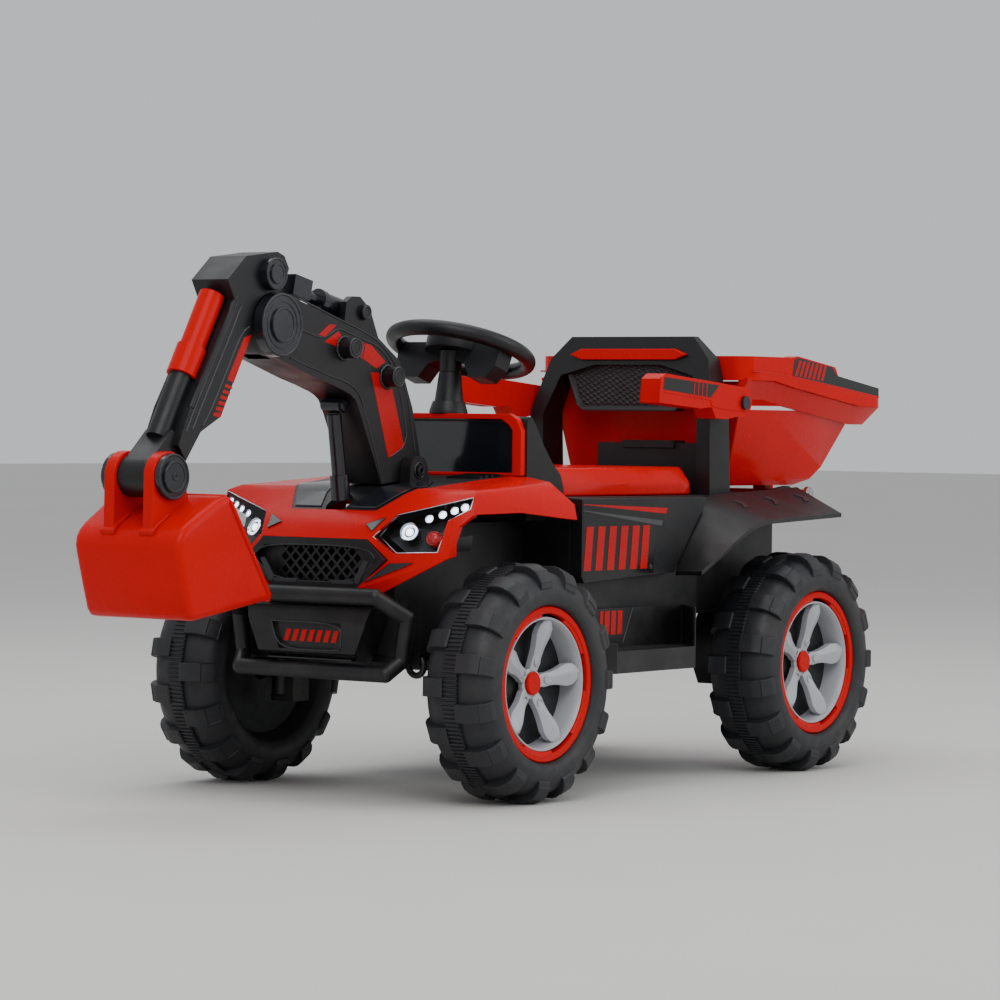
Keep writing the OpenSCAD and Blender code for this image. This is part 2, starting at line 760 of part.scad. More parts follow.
// the upper arm: a fork at the stick, a trough for the cylinder on top, round knobs beside
module boom() painted(black) difference() {
    union() {
        difference() {
            side_extrude(-boom_half, boom_half) boom_side();
            // fork for the tongue of the stick
            cross_bar(stick_pivot, 37, -15.2, 15.2);
            side_extrude(-15.2, 15.2)
                polygon([[-262, 470], [-223, 474], [-200, 545], [-262, 560]]);
            // trough for the cylinder
            side_extrude(-19.6, 19.6)
                polygon([[-240, 560], [-240, 534], [-186, 534], [-120, 516], [-76, 503],
                         [-50, 508], [-50, 560]]);
        }
        both_sides() {
            side_extrude(14, 22)
                polygon([[-100, 500], [-94, 541], [-84, 547], [-70, 547], [-52, 534],
                         [-32, 492]]);
            cross_bar(barrel_pivot, 8.5, 22, 27);
            cross_bar([-103, 490], 11, boom_half - 1, 43);
            cross_bar([-26, 460], 11, boom_half - 1, 43);
        }
        cross_bar(barrel_pivot, small_pin_r, -23, 23);
    }
    cross_bar(stick_pivot, stick_pin_r + run_fit, -40, 40);
    cross_bar(boom_pivot, small_pin_r + run_fit, -40, 40);
    cross_bar(strut_head, strut_head_r + 0.05, -12.1, 12.1);
}

// the strut in front of the boom's leg
module boom_strut() painted(dark) {
    union() {
        bar([0, strut_foot[0], strut_foot[1]], [0, strut_head[0], strut_head[1] - 10], 8);
        bar([0, strut_foot[0], strut_foot[1]], [0, -76, 352], 10.5);
        cross_bar(strut_head, strut_head_r, -12, 12);
        both_sides() cross_bar(strut_head, 6, 12, 15);
    }
}

module stick_side() {
    polygon([[-298, 558], [-268, 583.5], [-216, 590], [-205, 586], [-197, 573], [-206, 552],
             [-222, 540], [-250, 509], [-258, 504], [-307, 414], [-339, 398], [-362, 368],
             [-374, 384], [-356, 423], [-286, 536]]);
}

// a round bar along the stick's front tube, between two distances down its axis
module front_tube(s0, s1, r) {
    way = [0, -0.4908, -0.8713];
    from = [0, -310.6, 511.5];
    bar(from + s0 * way, from + s1 * way, r);
}

// a block in the middle with the tongue, side plates, the front tube and the bucket's hub
module stick() painted(black) difference() {
    union() {
        difference() {
            side_extrude(-stick_half, stick_half) stick_side();
            cross_bar(stick_pivot, 34.6, -40, 40);
        }
        side_extrude(-14.7, 14.7) {
            translate(stick_pivot) circle(r = 31);
            polygon([[-258, 504], [-284, 535], [-206, 552], [-196, 527], [-223, 481],
                     [-246, 492]]);
        }
        front_tube(50, 138, 12.5);
        side_extrude(-18, 18)
            polygon([[-376, 400], [-412, 366], [-397, 352], [-378, 346], [-350, 386]]);
        cross_bar(bucket_pivot, 22, -19, 19);
    }
    cross_bar(stick_pivot, stick_pin_r, -40, 40);
    cross_bar(bucket_pivot, stick_pin_r + run_fit, -40, 40);
    // bed of the red tube
    front_tube(-34.5, 31, 16);
    front_tube(29, 64, 18);
    // slot for the eye of the cylinder rod
    side_extrude(-10, 10)
        polygon([[-252, 552], [-252, 582], [-228, 584], [-180, 580], [-180, 530], [-205, 541],
                 [-228, 550]]);
    cross_bar(rod_pivot, small_pin_r, -40, 40);
}

module stick_tube() painted(red) union() {
    front_tube(-34.5, 31, 13.7);
    front_tube(30.4, 64, 16.2);
}

// the pins of the stick with their round caps, and the pin of the cylinder rod
module arm_pins() painted(dark) {
    union() {
        cross_bar(stick_pivot, stick_pin_r, -38, 38);
        both_sides() {
            cross_bar(stick_pivot, 34, 26.5, 38);
            cross_bar(stick_pivot, 19, 38, 40);
        }
    }
    union() {
        cross_bar(rod_pivot, small_pin_r, -30, 30);
        both_sides() {
            cross_bar(rod_pivot, 17.5, 25.2, 34);
            cross_bar(rod_pivot, 11, 34, 35.5);
        }
    }
}

// local frame of the arm's cylinder: z runs from the barrel's pin to the rod's pin
module on_cylinder() {
    translate([0, barrel_pivot[0], barrel_pivot[1]]) rotate([90 - cylinder_tilt, 0, 0]) children();
}

module arm_barrel() painted(dark) on_cylinder() difference() {
    union() {
        rotate([0, 90, 0]) translate([0, 0, -13]) cylinder(r = 11, h = 26);
        translate([0, 0, 6]) cylinder(r = 11.5, h = 48);
        translate([0, 0, 48]) cylinder(r = 13, h = 8);
    }
    rotate([0, 90, 0]) translate([0, 0, -20]) cylinder(r = small_pin_r + run_fit, h = 40);
    translate([0, 0, 16]) cylinder(r = 6 + run_fit, h = 60);
}

module arm_rod() painted(dark) on_cylinder() difference() {
    union() {
        translate([0, 0, 34]) cylinder(r = 6, h = 60);
        translate([-18, -9, 88]) cube([36, 22, 30]);
        translate([-9, -9, 116]) cube([18, 18, cylinder_len - 116]);
        translate([0, 0, cylinder_len]) rotate([0, 90, 0]) translate([0, 0, -9])
            cylinder(r = 12.5, h = 18);
    }
    translate([0, 0, cylinder_len]) rotate([0, 90, 0]) translate([0, 0, -20])
        cylinder(r = small_pin_r + open_fit, h = 40);
}

// ---------- bucket ----------

module bucket_side() {
    polygon([[-424, 292], [-418, 300], [-362, 332], [-355, 333], [-316, 275], [-284, 223],
             [-398, 205], [-408, 210], [-425, 272], [-427, 282]]);
}

// side view of the hollow, open toward the vehicle
module bucket_hollow() {
    polygon([[-419, 290], [-415, 296], [-358, 327], [-330, 335], [-280, 240], [-270, 229],
             [-300, 228], [-396, 211], [-403, 214], [-420, 272], [-422, 282]]);
}

module bucket() painted(red) difference() {
    union() {
        hull() {
            side_extrude(-70, 70) bucket_side();
            side_extrude(-78, 78)
                polygon([[-352, 333], [-358, 330], [-290, 222], [-282, 223]]);
        }
        // rolled edge around the mouth
        side_extrude(-80, 80)
            polygon([[-361, 331], [-355, 335], [-312, 278], [-280, 222], [-290, 219],
                     [-322, 272]]);
        both_sides() side_extrude(19.6, 34) {
            translate(bucket_pivot) circle(r = 26);
            polygon([[-423, 350], [-424, 294], [-364, 329], [-371, 352]]);
        }
    }
    hull() {
        side_extrude(-66, 66) bucket_hollow();
        side_extrude(-74, 74) polygon([[-346, 340], [-354, 326], [-292, 228], [-270, 229]]);
    }
    cross_bar(bucket_pivot, stick_pin_r, -40, 40);
    cross_bar(bucket_pivot, 23, -19.6, 19.6);
}

module bucket_pin() painted(dark) union() {
    cross_bar(bucket_pivot, stick_pin_r, -38, 38);
    both_sides() {
        cross_bar(bucket_pivot, 24, 34, 39);
        cross_bar(bucket_pivot, 17, 39, 41);
    }
}

// ---------- the assembly ----------

chassis_tub();
hood();
grille();
hood_deck();
hood_trims();
headlight_bezels();
headlight_lenses();
headlight_leds();
turn_lamps();
bumper_bar();
skid_plate();
tow_ring();
windscreen();
windscreen_frame();
dash_cowl();
side_panels();
side_steps();
rear_fenders();
seat();
seat_back_frame();
seat_back_pad();
seat_back_strip();
battery_box();
armrest_l();
armrest_r();
armrest_bolts();
dump_bed();
bed_pivot_rod();
front_axle_beam();
knuckle_l();
knuckle_r();
tie_rod();
steering_shaft();
steering_wheel();
horn_pad();
tyre_fl();
wheel_trim_fl();
wheel_cover_fl();
tyre_fr();
wheel_trim_fr();
wheel_cover_fr();
tyre_rl();
wheel_trim_rl();
wheel_cover_rl();
tyre_rr();
wheel_trim_rr();
wheel_cover_rr();
rear_axle();
gearboxes();
boom();
boom_strut();
stick();
stick_tube();
arm_barrel();
arm_rod();
arm_pins();
bucket();
bucket_pin();
pedal();
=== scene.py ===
"""Looks for the ride-on digger: materials, tyre treads, lamps, cushion and decals on the CAD frame."""

import json
import math

import bmesh
import bpy
from mathutils import Matrix, Vector


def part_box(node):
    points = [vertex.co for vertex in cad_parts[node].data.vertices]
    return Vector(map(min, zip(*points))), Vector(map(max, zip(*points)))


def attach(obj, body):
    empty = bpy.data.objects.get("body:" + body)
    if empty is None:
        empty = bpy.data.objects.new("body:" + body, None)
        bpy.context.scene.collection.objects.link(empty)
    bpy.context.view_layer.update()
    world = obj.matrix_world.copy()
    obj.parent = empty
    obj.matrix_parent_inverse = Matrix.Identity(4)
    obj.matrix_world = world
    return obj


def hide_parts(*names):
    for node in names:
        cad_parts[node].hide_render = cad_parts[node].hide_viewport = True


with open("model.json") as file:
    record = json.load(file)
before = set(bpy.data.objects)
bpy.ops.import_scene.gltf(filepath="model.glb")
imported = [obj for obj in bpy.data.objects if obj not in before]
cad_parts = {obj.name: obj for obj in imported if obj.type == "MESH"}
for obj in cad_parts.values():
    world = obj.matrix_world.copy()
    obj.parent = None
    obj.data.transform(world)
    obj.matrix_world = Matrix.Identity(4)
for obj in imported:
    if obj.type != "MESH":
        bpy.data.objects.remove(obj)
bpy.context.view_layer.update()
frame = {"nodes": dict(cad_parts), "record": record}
NODES = frame["nodes"]
SLOT_OF = {s["node"]: s["material_slot"] for s in frame["record"]["subparts"]}
MM = 0.001
CORNERS = ("fl", "fr", "rl", "rr")
# metres from the front axle line to the row's origin; scene coordinates below are counted from it
AXLE_Y = sum(c.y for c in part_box("wheel_cover_fl")) / 2


# ---------- node materials ----------

# sockets of a Mix node that mixes colours
MIX_A, MIX_B, MIX_RESULT = 6, 7, 2


class Shader:
    """A Principled material that is put together with a few short calls."""

    def __init__(self, name, colour, roughness, metallic=0.0, coat=0.0, shine=0.5):
        self.mat = bpy.data.materials.new(name)
        self.mat.use_nodes = True
        self.nodes = self.mat.node_tree.nodes
        self.links = self.mat.node_tree.links
        self.bsdf = self.nodes["Principled BSDF"]
        self.colour = colour
        self.bsdf.inputs["Base Color"].default_value = (*colour, 1)
        self.bsdf.inputs["Roughness"].default_value = roughness
        self.bsdf.inputs["Metallic"].default_value = metallic
        self.bsdf.inputs["Coat Weight"].default_value = coat
        self.bsdf.inputs["Coat Roughness"].default_value = 0.12
        self.bsdf.inputs["Specular IOR Level"].default_value = shine
        self.coords = self.nodes.new("ShaderNodeTexCoord").outputs["Object"]

    def noise(self, scale, detail=4.0, roughness=0.6, stretch=None):
        node = self.nodes.new("ShaderNodeTexNoise")
        node.inputs["Scale"].default_value = scale
        node.inputs["Detail"].default_value = detail
        node.inputs["Roughness"].default_value = roughness
        source = self.coords
        if stretch:
            mapping = self.nodes.new("ShaderNodeMapping")
            mapping.inputs["Scale"].default_value = stretch
            self.links.new(self.coords, mapping.inputs["Vector"])
            source = mapping.outputs["Vector"]
        self.links.new(source, node.inputs["Vector"])
        return node.outputs["Fac"]

    def ramp(self, source, low, high, out_low=0.0, out_high=1.0):
        node = self.nodes.new("ShaderNodeMapRange")
        node.inputs["From Min"].default_value = low
        node.inputs["From Max"].default_value = high
        node.inputs["To Min"].default_value = out_low
        node.inputs["To Max"].default_value = out_high
        self.links.new(source, node.inputs["Value"])
        return node.outputs["Result"]

    def multiply(self, a, b):
        node = self.nodes.new("ShaderNodeMath")
        node.operation = "MULTIPLY"
        self.links.new(a, node.inputs[0])
        if isinstance(b, float):
            node.inputs[1].default_value = b
        else:
            self.links.new(b, node.inputs[1])
        return node.outputs["Value"]

    def height_mask(self, low, high):
        """1 below z = low, 0 above z = high."""
        split = self.nodes.new("ShaderNodeSeparateXYZ")
        self.links.new(self.coords, split.inputs["Vector"])
        return self.ramp(split.outputs["Z"], low, high, 1.0, 0.0)

    def tint(self, mask, colour):
        """Mixes a colour in over what the base colour is so far."""
        node = self.nodes.new("ShaderNodeMix")
        node.data_type = "RGBA"
        socket = self.bsdf.inputs["Base Color"]
        if socket.links:
            self.links.new(socket.links[0].from_socket, node.inputs[MIX_A])
        else:
            node.inputs[MIX_A].default_value = (*self.colour, 1)
        node.inputs[MIX_B].default_value = (*colour, 1)
        self.links.new(mask, node.inputs["Factor"])
        self.links.new(node.outputs[MIX_RESULT], socket)

    def rough(self, source, low, high):
        self.links.new(self.ramp(source, 0.3, 0.7, low, high), self.bsdf.inputs["Roughness"])

    def bump(self, source, distance, strength=1.0):
        node = self.nodes.new("ShaderNodeBump")
        node.inputs["Strength"].default_value = strength
        node.inputs["Distance"].default_value = distance
        socket = self.bsdf.inputs["Normal"]
        if socket.links:
            self.links.new(socket.links[0].from_socket, node.inputs["Normal"])
        self.links.new(source, node.inputs["Height"])
        self.links.new(node.outputs["Normal"], socket)

    def glow(self, colour, strength):
        self.bsdf.inputs["Emission Color"].default_value = (*colour, 1)
        self.bsdf.inputs["Emission Strength"].default_value = strength


def moulded(name, colour, low, high, coat=0.0, grain=0.00004, dust=0.0, shine=0.5):
    """Moulded plastic: soft colour drift, uneven gloss, fine grain and dust near the ground."""
    s = Shader(name, colour, (low + high) / 2, coat=coat, shine=shine)
    s.tint(s.ramp(s.noise(9), 0.35, 0.75, 0.0, 0.35), [c * 0.72 for c in colour])
    if dust:
        film = s.multiply(s.height_mask(0.02, 0.42), s.ramp(s.noise(26, 8), 0.42, 0.7))
        s.tint(s.multiply(film, dust), (0.21, 0.185, 0.155))
    s.rough(s.noise(34, 6), low, high)
    s.bump(s.noise(900, 3), grain)
    s.bump(s.noise(14, 2), 0.0004)
    return s.mat


def tyre_rubber():
    s = Shader("tyre_plastic", (0.0085, 0.0092, 0.012), 0.5)
    s.tint(s.ramp(s.noise(22, 6), 0.4, 0.8, 0.0, 0.4), (0.019, 0.02, 0.024))
    dust = s.ramp(s.noise(9, 7), 0.5, 0.8)
    s.tint(s.multiply(dust, 0.35), (0.075, 0.067, 0.057))
    s.rough(s.noise(70, 6), 0.42, 0.66)
    s.bump(s.noise(700, 4), 0.00012)
    return s.mat


def brushed(name, colour, low=0.22, high=0.4):
    s = Shader(name, colour, 0.3, metallic=1.0)
    s.tint(s.ramp(s.noise(40, 6), 0.4, 0.8, 0.0, 0.4), [c * 0.6 for c in colour])
    s.rough(s.noise(120, 5, stretch=(0.15, 1, 1)), low, high)
    s.bump(s.noise(420, 3, stretch=(0.1, 1, 1)), 0.00003)
    return s.mat


RED = (0.58, 0.0002, 0.0009)
BLACK = (0.0046, 0.0047, 0.0062)
MAT = {
    "red_shell": moulded("red_plastic", RED, 0.2, 0.32, coat=0.03, dust=0.02, shine=0.1),
    "black_plastic": moulded("black_plastic", BLACK, 0.34, 0.5, grain=0.00006, dust=0.1, shine=0.4),
    "dark_plastic": moulded("dark_plastic", (0.0075, 0.009, 0.013), 0.14, 0.28, coat=0.2),
    "glossy": moulded("glossy_panel", (0.006, 0.008, 0.011), 0.06, 0.12, coat=0.6, grain=0.00001),
    "tyre": tyre_rubber(),
    "silver": moulded("silver_plastic", (0.42, 0.43, 0.46), 0.28, 0.42, coat=0.2),
    "steel": brushed("steel", (0.52, 0.52, 0.54)),
    "amber": moulded("red_lamp", (0.6, 0.01, 0.01), 0.12, 0.2, coat=0.4),
    "cushion": moulded("cushion_cloth", (0.017, 0.017, 0.02), 0.5, 0.75),
}


def lens_material():
    s = Shader("lens", (0.9, 0.93, 0.96), 0.03)
    s.bsdf.inputs["Transmission Weight"].default_value = 1.0
    s.bsdf.inputs["IOR"].default_value = 1.12
    s.bump(s.noise(30, 2), 0.0002)
    return s.mat


def led_material():
    s = Shader("led", (0.9, 0.95, 1.0), 0.25)
    s.glow((0.85, 0.93, 1.0), 4.0)
    s.bump(s.noise(500, 2), 0.0001)
    return s.mat


MAT["lens"] = lens_material()
MAT["led"] = led_material()


def paint(obj, material):
    obj.data.materials.clear()
    obj.data.materials.append(material)


# ---------- mesh helpers ----------

def edge_bevel(obj, width, segments=2, angle=32.0):
    """Rounds the edges that are sharper than an angle; the width is in mm."""
    bevel = obj.modifiers.new("bevel", "BEVEL")
    bevel.width = width * MM
    bevel.segments = segments
    bevel.limit_method = "ANGLE"
    bevel.angle_limit = math.radians(angle)
    bevel.harden_normals = True


def soften_node(obj, width):
    """Welds a CAD mesh, rounds its hard edges and shades the flats flat."""
    with bpy.context.temp_override(object=obj, active_object=obj):
        bpy.ops.mesh.customdata_custom_splitnormals_clear()
    for polygon in obj.data.polygons:
        polygon.use_smooth = True
    weld = obj.modifiers.new("weld", "WELD")
    weld.merge_threshold = 1e-5
    edge_bevel(obj, width, angle=30.0)


def add_mesh(name, build, material, smooth_angle=35.0):
    """A new mesh object from a function that fills a bmesh."""
    mesh = bpy.data.meshes.new(name)
    bm = bmesh.new()
    build(bm)
    bmesh.ops.recalc_face_normals(bm, faces=bm.faces)
    bm.to_mesh(mesh)
    bm.free()
    obj = bpy.data.objects.new(name, mesh)
    bpy.context.scene.collection.objects.link(obj)
    mesh.materials.append(material)
    for polygon in mesh.polygons:
        polygon.use_smooth = True
    mesh.set_sharp_from_angle(angle=math.radians(smooth_angle))
    return obj


# ---------- CAD nodes: a material and soft edges each ----------

# radius of the soft edges in mm, where it isn't 1
EDGE_WIDTH = {"armrest_l": 0.3, "armrest_r": 0.3, "seat": 4.0, "chassis_tub": 2.0, "hood": 1.6,
              "dump_bed": 1.6, "bucket": 2.4, "boom": 1.6, "stick": 1.6}
SLOT_OF["windscreen"] = "glossy"
for node_name, node in NODES.items():
    paint(node, MAT[SLOT_OF[node_name]])
    soften_node(node, EDGE_WIDTH.get(node_name, 1.0))


# ---------- wheels ----------
# local frame of a wheel: X points outward along the axle, the wheel turns in YZ; sizes in metres

WHEEL_R = (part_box("tyre_fl")[1].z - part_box("tyre_fl")[0].z) / 2
LUGS = 15
TYRE_PROFILE = [(-40, 84), (-44, 91), (-44.6, 98), (-43, 106), (-39, 113), (-33, 118.4), (-25, 121.6),
                (-16, 123), (-9.5, 123.2), (9.5, 123.2), (16, 123), (25, 121.6), (33, 118.4), (39, 113),
                (43, 106), (44.6, 98), (44, 91), (42, 87.6), (39, 85.6), (32, 84.6), (6, 84.6)]


def spin(bm, profile, steps, closed=False):
    """Turns a list of (x, r) points, in mm, round the X axis."""
    rings = []
    for i in range(steps):
        a = 2 * math.pi * i / steps
        rings.append([bm.verts.new((x * MM, r * MM * math.cos(a), r * MM * math.sin(a)))
                      for x, r in profile])
    count = len(profile)
    for i in range(steps):
        here, there = rings[i], rings[(i + 1) % steps]
        for k in range(count if closed else count - 1):
            bm.faces.new((here[k], here[(k + 1) % count], there[(k + 1) % count], there[k]))


def block(bm, section, angle, half_width, flare=0.0):
    """One lug: an (x, r) section swept across a short arc at an angle, in degrees."""
    sides = []
    for side in (-1, 1):
        ring = []
        for x, r in section:
            across = side * (half_width + flare * max(0.0, 122 - r))
            a = math.radians(angle)
            ring.append(bm.verts.new((x * MM, (r * math.cos(a) - across * math.sin(a)) * MM,
                                      (r * math.sin(a) + across * math.cos(a)) * MM)))
        sides.append(ring)
    low, high = sides
    count = len(section)
    faces = [bm.faces.new(low[::-1]), bm.faces.new(high)]
    for k in range(count):
        faces.append(bm.faces.new((low[k], low[(k + 1) % count], high[(k + 1) % count], high[k])))
    return faces


LUG_TOP = [(7.5, 116), (7.5, 128.6), (9, 129.7), (24, 129.7), (30, 128.2), (36, 124.4), (41, 118.6),
           (44.6, 111), (45, 105.5), (42, 102), (36, 108), (24, 113)]
WINDOW_FACES = (5, 6)


def build_lugs(bm):
    """Staggered tread lugs down both sides, each with a small window pressed into its shoulder."""
    for i in range(LUGS):
        for side, shift in ((1, 0.0), (-1, 0.5)):
            section = [(side * x, r) for x, r in LUG_TOP]
            faces = block(bm, section, 360 / LUGS * (i + shift), 10.2)
            window = [faces[2 + k] for k in WINDOW_FACES]
            bmesh.ops.inset_region(bm, faces=window, thickness=0.0026, depth=0)
            bmesh.ops.inset_region(bm, faces=window, thickness=0.0007, depth=-0.0013)


def build_tyre(bm):
    spin(bm, TYRE_PROFILE, 144)
    # the dished inner side and the dark floor of the dish
    spin(bm, [(-40, 84), (-36, 80), (-24, 74), (-20, 60), (-20, 14)], 72)
    spin(bm, [(6, 84.6), (7.4, 82), (7.6, 20), (7.6, 0.5)], 72)


def build_band(bm):
    """The finely ribbed band round the middle of the tread."""
    ribs = 168
    rings = []
    for i in range(ribs):
        for part, r in ((0.06, 127.6), (0.44, 127.6), (0.56, 126.0), (0.94, 126.0)):
            a = 2 * math.pi * (i + part) / ribs
            ring = [(-9.6, 122), (-9.6, r - 0.7), (-8.9, r), (8.9, r), (9.6, r - 0.7), (9.6, 122)]
            rings.append([bm.verts.new((x * MM, q * MM * math.cos(a), q * MM * math.sin(a)))
                          for x, q in ring])
    for i, here in enumerate(rings):
        there = rings[(i + 1) % len(rings)]
        for k in range(len(here) - 1):
            bm.faces.new((here[k], here[k + 1], there[k + 1], there[k]))


def place_on_wheel(obj, corner):
    low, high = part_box("wheel_cover_" + corner)
    left = corner.endswith("l")
    middle = Vector((0, (low.y + high.y) / 2, (low.z + high.z) / 2))
    tyre_low, tyre_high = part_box("tyre_" + corner)
    middle.x = (tyre_low.x + tyre_high.x) / 2
    obj.matrix_world = Matrix.Translation(middle) @ Matrix.Rotation(0 if left else math.pi, 4, "Y")
    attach(obj, "wheel_" + corner)


def copies(template, base):
    """The template on each of the four wheels, sharing one mesh."""
    made = []
    for corner in CORNERS:
        obj = template if corner == CORNERS[0] else template.copy()
        obj.name = base + "_" + corner
        if obj is not template:
            bpy.context.scene.collection.objects.link(obj)
        made.append(obj)
    for obj, corner in zip(made, CORNERS):
        place_on_wheel(obj, corner)
    return made


def make_wheels():
    tyre = add_mesh("tread_casing", build_tyre, MAT["tyre"], 40)
    lugs = add_mesh("tread_lugs", build_lugs, MAT["tyre"], 40)
    edge_bevel(lugs, 1.1)
    band = add_mesh("tread_band", build_band, MAT["tyre"], 30)
    for obj, corner in zip(copies(tyre, "tread_casing"), CORNERS):
        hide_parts("tyre_" + corner)
    copies(lugs, "tread_lugs")
    copies(band, "tread_band")


# ---------- wheel covers ----------

SPOKE_TURN = 26.0
# along a spoke: radius, half width, height of its edges, height of its ridge; in mm
SPOKE = [(13, 6.2, 17.5, 18), (21, 7.8, 19.5, 20.4), (29, 7.2, 21, 23.5), (40, 8.6, 23.2, 27.4),
         (53, 12.4, 26.2, 31.6), (61.5, 11.8, 28.4, 33.2), (67, 8.2, 29.6, 33.4), (70.5, 4.6, 30, 31.6)]


SPOKES = 5
NUT_CIRCLE = 23.6
NUT_STEPS = 20


def build_spokes(bm):
    """Five petals, each with an off-centre ridge, a narrow lit facet and a sunk broad one."""
    for i in range(SPOKES):
        turn = math.radians(360 / SPOKES * i + SPOKE_TURN)
        rows = []
        for r, half, edge, ridge in SPOKE:
            line = [(-half, edge - 7), (-half, edge), (-half * 0.72, edge + 1.1), (half * 0.18, ridge),
                    (half * 0.4, ridge), (half, edge), (half, edge - 7)]
            rows.append([bm.verts.new((x * MM, (r * math.sin(turn) + w * math.cos(turn)) * MM,
                                       (w * math.sin(turn) - r * math.cos(turn)) * MM))
                         for w, x in line])
        for here, there in zip(rows, rows[1:]):
            for k in range(len(here) - 1):
                bm.faces.new((here[k], here[k + 1], there[k + 1], there[k]))
        bm.faces.new(rows[0])
        bm.faces.new(rows[-1][::-1])


def build_rim(bm):
    spin(bm, [(6, 73), (32.4, 73), (34.6, 72.2), (34.8, 71), (33.6, 70), (26, 68.4), (6, 67.4)], 120)
    spin(bm, [(12, 17), (16.6, 17), (17.4, 16), (17.4, 12.4)], 60)


def nut_centres():
    for i in range(SPOKES):
        a = math.radians(360 / SPOKES * i + SPOKE_TURN)
        yield NUT_CIRCLE * math.sin(a), -NUT_CIRCLE * math.cos(a)


def build_nuts(bm):
    """A raised collar round each nut hole."""
    for y, z in nut_centres():
        profile = [(17, 4.9), (22.0, 4.9), (22.6, 4.3), (22.6, 3.5), (21.4, 3.1), (17, 3.1)]
        rings = []
        for k in range(NUT_STEPS):
            t = 2 * math.pi * k / NUT_STEPS
            rings.append([bm.verts.new((x * MM, (y + r * math.cos(t)) * MM, (z + r * math.sin(t)) * MM))
                          for x, r in profile])
        for k in range(NUT_STEPS):
            here, there = rings[k], rings[(k + 1) % NUT_STEPS]
            for j in range(len(profile) - 1):
                bm.faces.new((here[j], here[j + 1], there[j + 1], there[j]))


def build_nut_floors(bm):
    """A dark disc in each nut hole."""
    for y, z in nut_centres():
        ring = []
        for k in range(NUT_STEPS):
            t = 2 * math.pi * k / NUT_STEPS
            ring.append(bm.verts.new((20.6 * MM, (y + 3.2 * math.cos(t)) * MM, (z + 3.2 * math.sin(t)) * MM)))
        bm.faces.new(ring)


def make_covers():
    spokes = add_mesh("cover_spokes", build_spokes, MAT["silver"], 22)
    edge_bevel(spokes, 0.5, angle=20)
    rim = add_mesh("cover_rim", build_rim, MAT["silver"], 40)
    nuts = add_mesh("nut_collars", build_nuts, MAT["silver"], 30)
    floors = add_mesh("nut_holes", build_nut_floors, MAT["dark_plastic"], 30)
    for obj, corner in zip(copies(spokes, "cover_spokes"), CORNERS):
        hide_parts("wheel_cover_" + corner)
    for template, base in ((rim, "cover_rim"), (nuts, "nut_collars"), (floors, "nut_holes")):
        copies(template, base)


make_wheels()
make_covers()


# ---------- plates and raised lines on the CAD parts ----------

def at(x, y, z):
    """A point in mm, with y counted from the front axle line, as scene coordinates."""
    return Vector((x * MM, AXLE_Y + y * MM, z * MM))


def prism(bm, points, way):
    """A flat ring of points closed into a plate that is as thick as the vector."""
    low = [bm.verts.new(p) for p in points]
    high = [bm.verts.new(p + way) for p in points]
    bm.faces.new(low[::-1])
    bm.faces.new(high)
    for k in range(len(points)):
        n = (k + 1) % len(points)
        bm.faces.new((low[k], low[n], high[n], high[k]))


def tube(bm, points, radius, closed=False, sides=8):
    """A round bar along a list of points."""
    count = len(points)
    rings = []
    for i, p in enumerate(points):
        before = points[(i - 1) % count] if closed or i else p
        after = points[(i + 1) % count] if closed or i < count - 1 else p
        way = (after - before).normalized()
        side = way.cross(Vector((0, 0, 1)) if abs(way.z) < 0.9 else Vector((1, 0, 0))).normalized()
        up = way.cross(side)
        rings.append([bm.verts.new(p + (side * math.cos(a) + up * math.sin(a)) * radius)
                      for a in (2 * math.pi * k / sides for k in range(sides))])
    for i in range(count if closed else count - 1):
        here, there = rings[i], rings[(i + 1) % count]
        for k in range(sides):
            bm.faces.new((here[k], here[(k + 1) % sides], there[(k + 1) % sides], there[k]))
    if not closed:
        bm.faces.new(rings[0][::-1])
        bm.faces.new(rings[-1])


def side_plates(name, outlines, x0, x1, material, body, sides=(1, -1), bevel=0.15):
    """Plates with (y, z) outlines, from x0 out to x1, on one or both sides of the vehicle."""
    def build(bm):
        for side in sides:
            for outline in outlines:
                prism(bm, [at(side * x0, y, z) for y, z in outline], Vector(((x1 - x0) * side * MM, 0, 0)))
    obj = add_mesh(name, build, material, 30)
    if bevel:
        edge_bevel(obj, bevel)
    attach(obj, body)


def side_rails(name, lines, x, radius, material, body, sides=(1, -1)):
    """Thin raised lines through (y, z) points on one or both sides of the vehicle."""
    def build(bm):
        for side in sides:
            for line in lines:
                tube(bm, [at(side * x, y, z) for y, z in rounded(line)], radius * MM)
    obj = add_mesh(name, build, material, 60)
    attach(obj, body)


def rounded(points, cut=0.22, rounds=2):
    """Cuts the corners of an open line, so that it bends softly."""
    line = [Vector((*p, 0)) if len(p) == 2 else Vector(p) for p in points]
    for _ in range(rounds):
        if len(line) < 3:
            break
        soft = [line[0]]
        for before, here, after in zip(line, line[1:], line[2:]):
            soft += [here.lerp(before, cut), here.lerp(after, cut)]
        line = soft + [line[-1]]
    return [(p.x, p.y) for p in line] if len(points[0]) == 2 else line


def ring_line(centre, radius, steps=40):
    return [(centre[0] + radius * math.cos(2 * math.pi * i / steps),
             centre[1] + radius * math.sin(2 * math.pi * i / steps)) for i in range(steps)]


def side_rings(name, rings, material, body, sides=(1, -1)):
    """Raised rings round a cross-wise axis, each given as (centre, radius, x, thickness)."""
    def build(bm):
        for side in sides:
            for centre, radius, x, thick in rings:
                tube(bm, [at(side * x, y, z) for y, z in ring_line(centre, radius)], thick * MM,
                     closed=True)
    obj = add_mesh(name, build, material, 60)
    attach(obj, body)


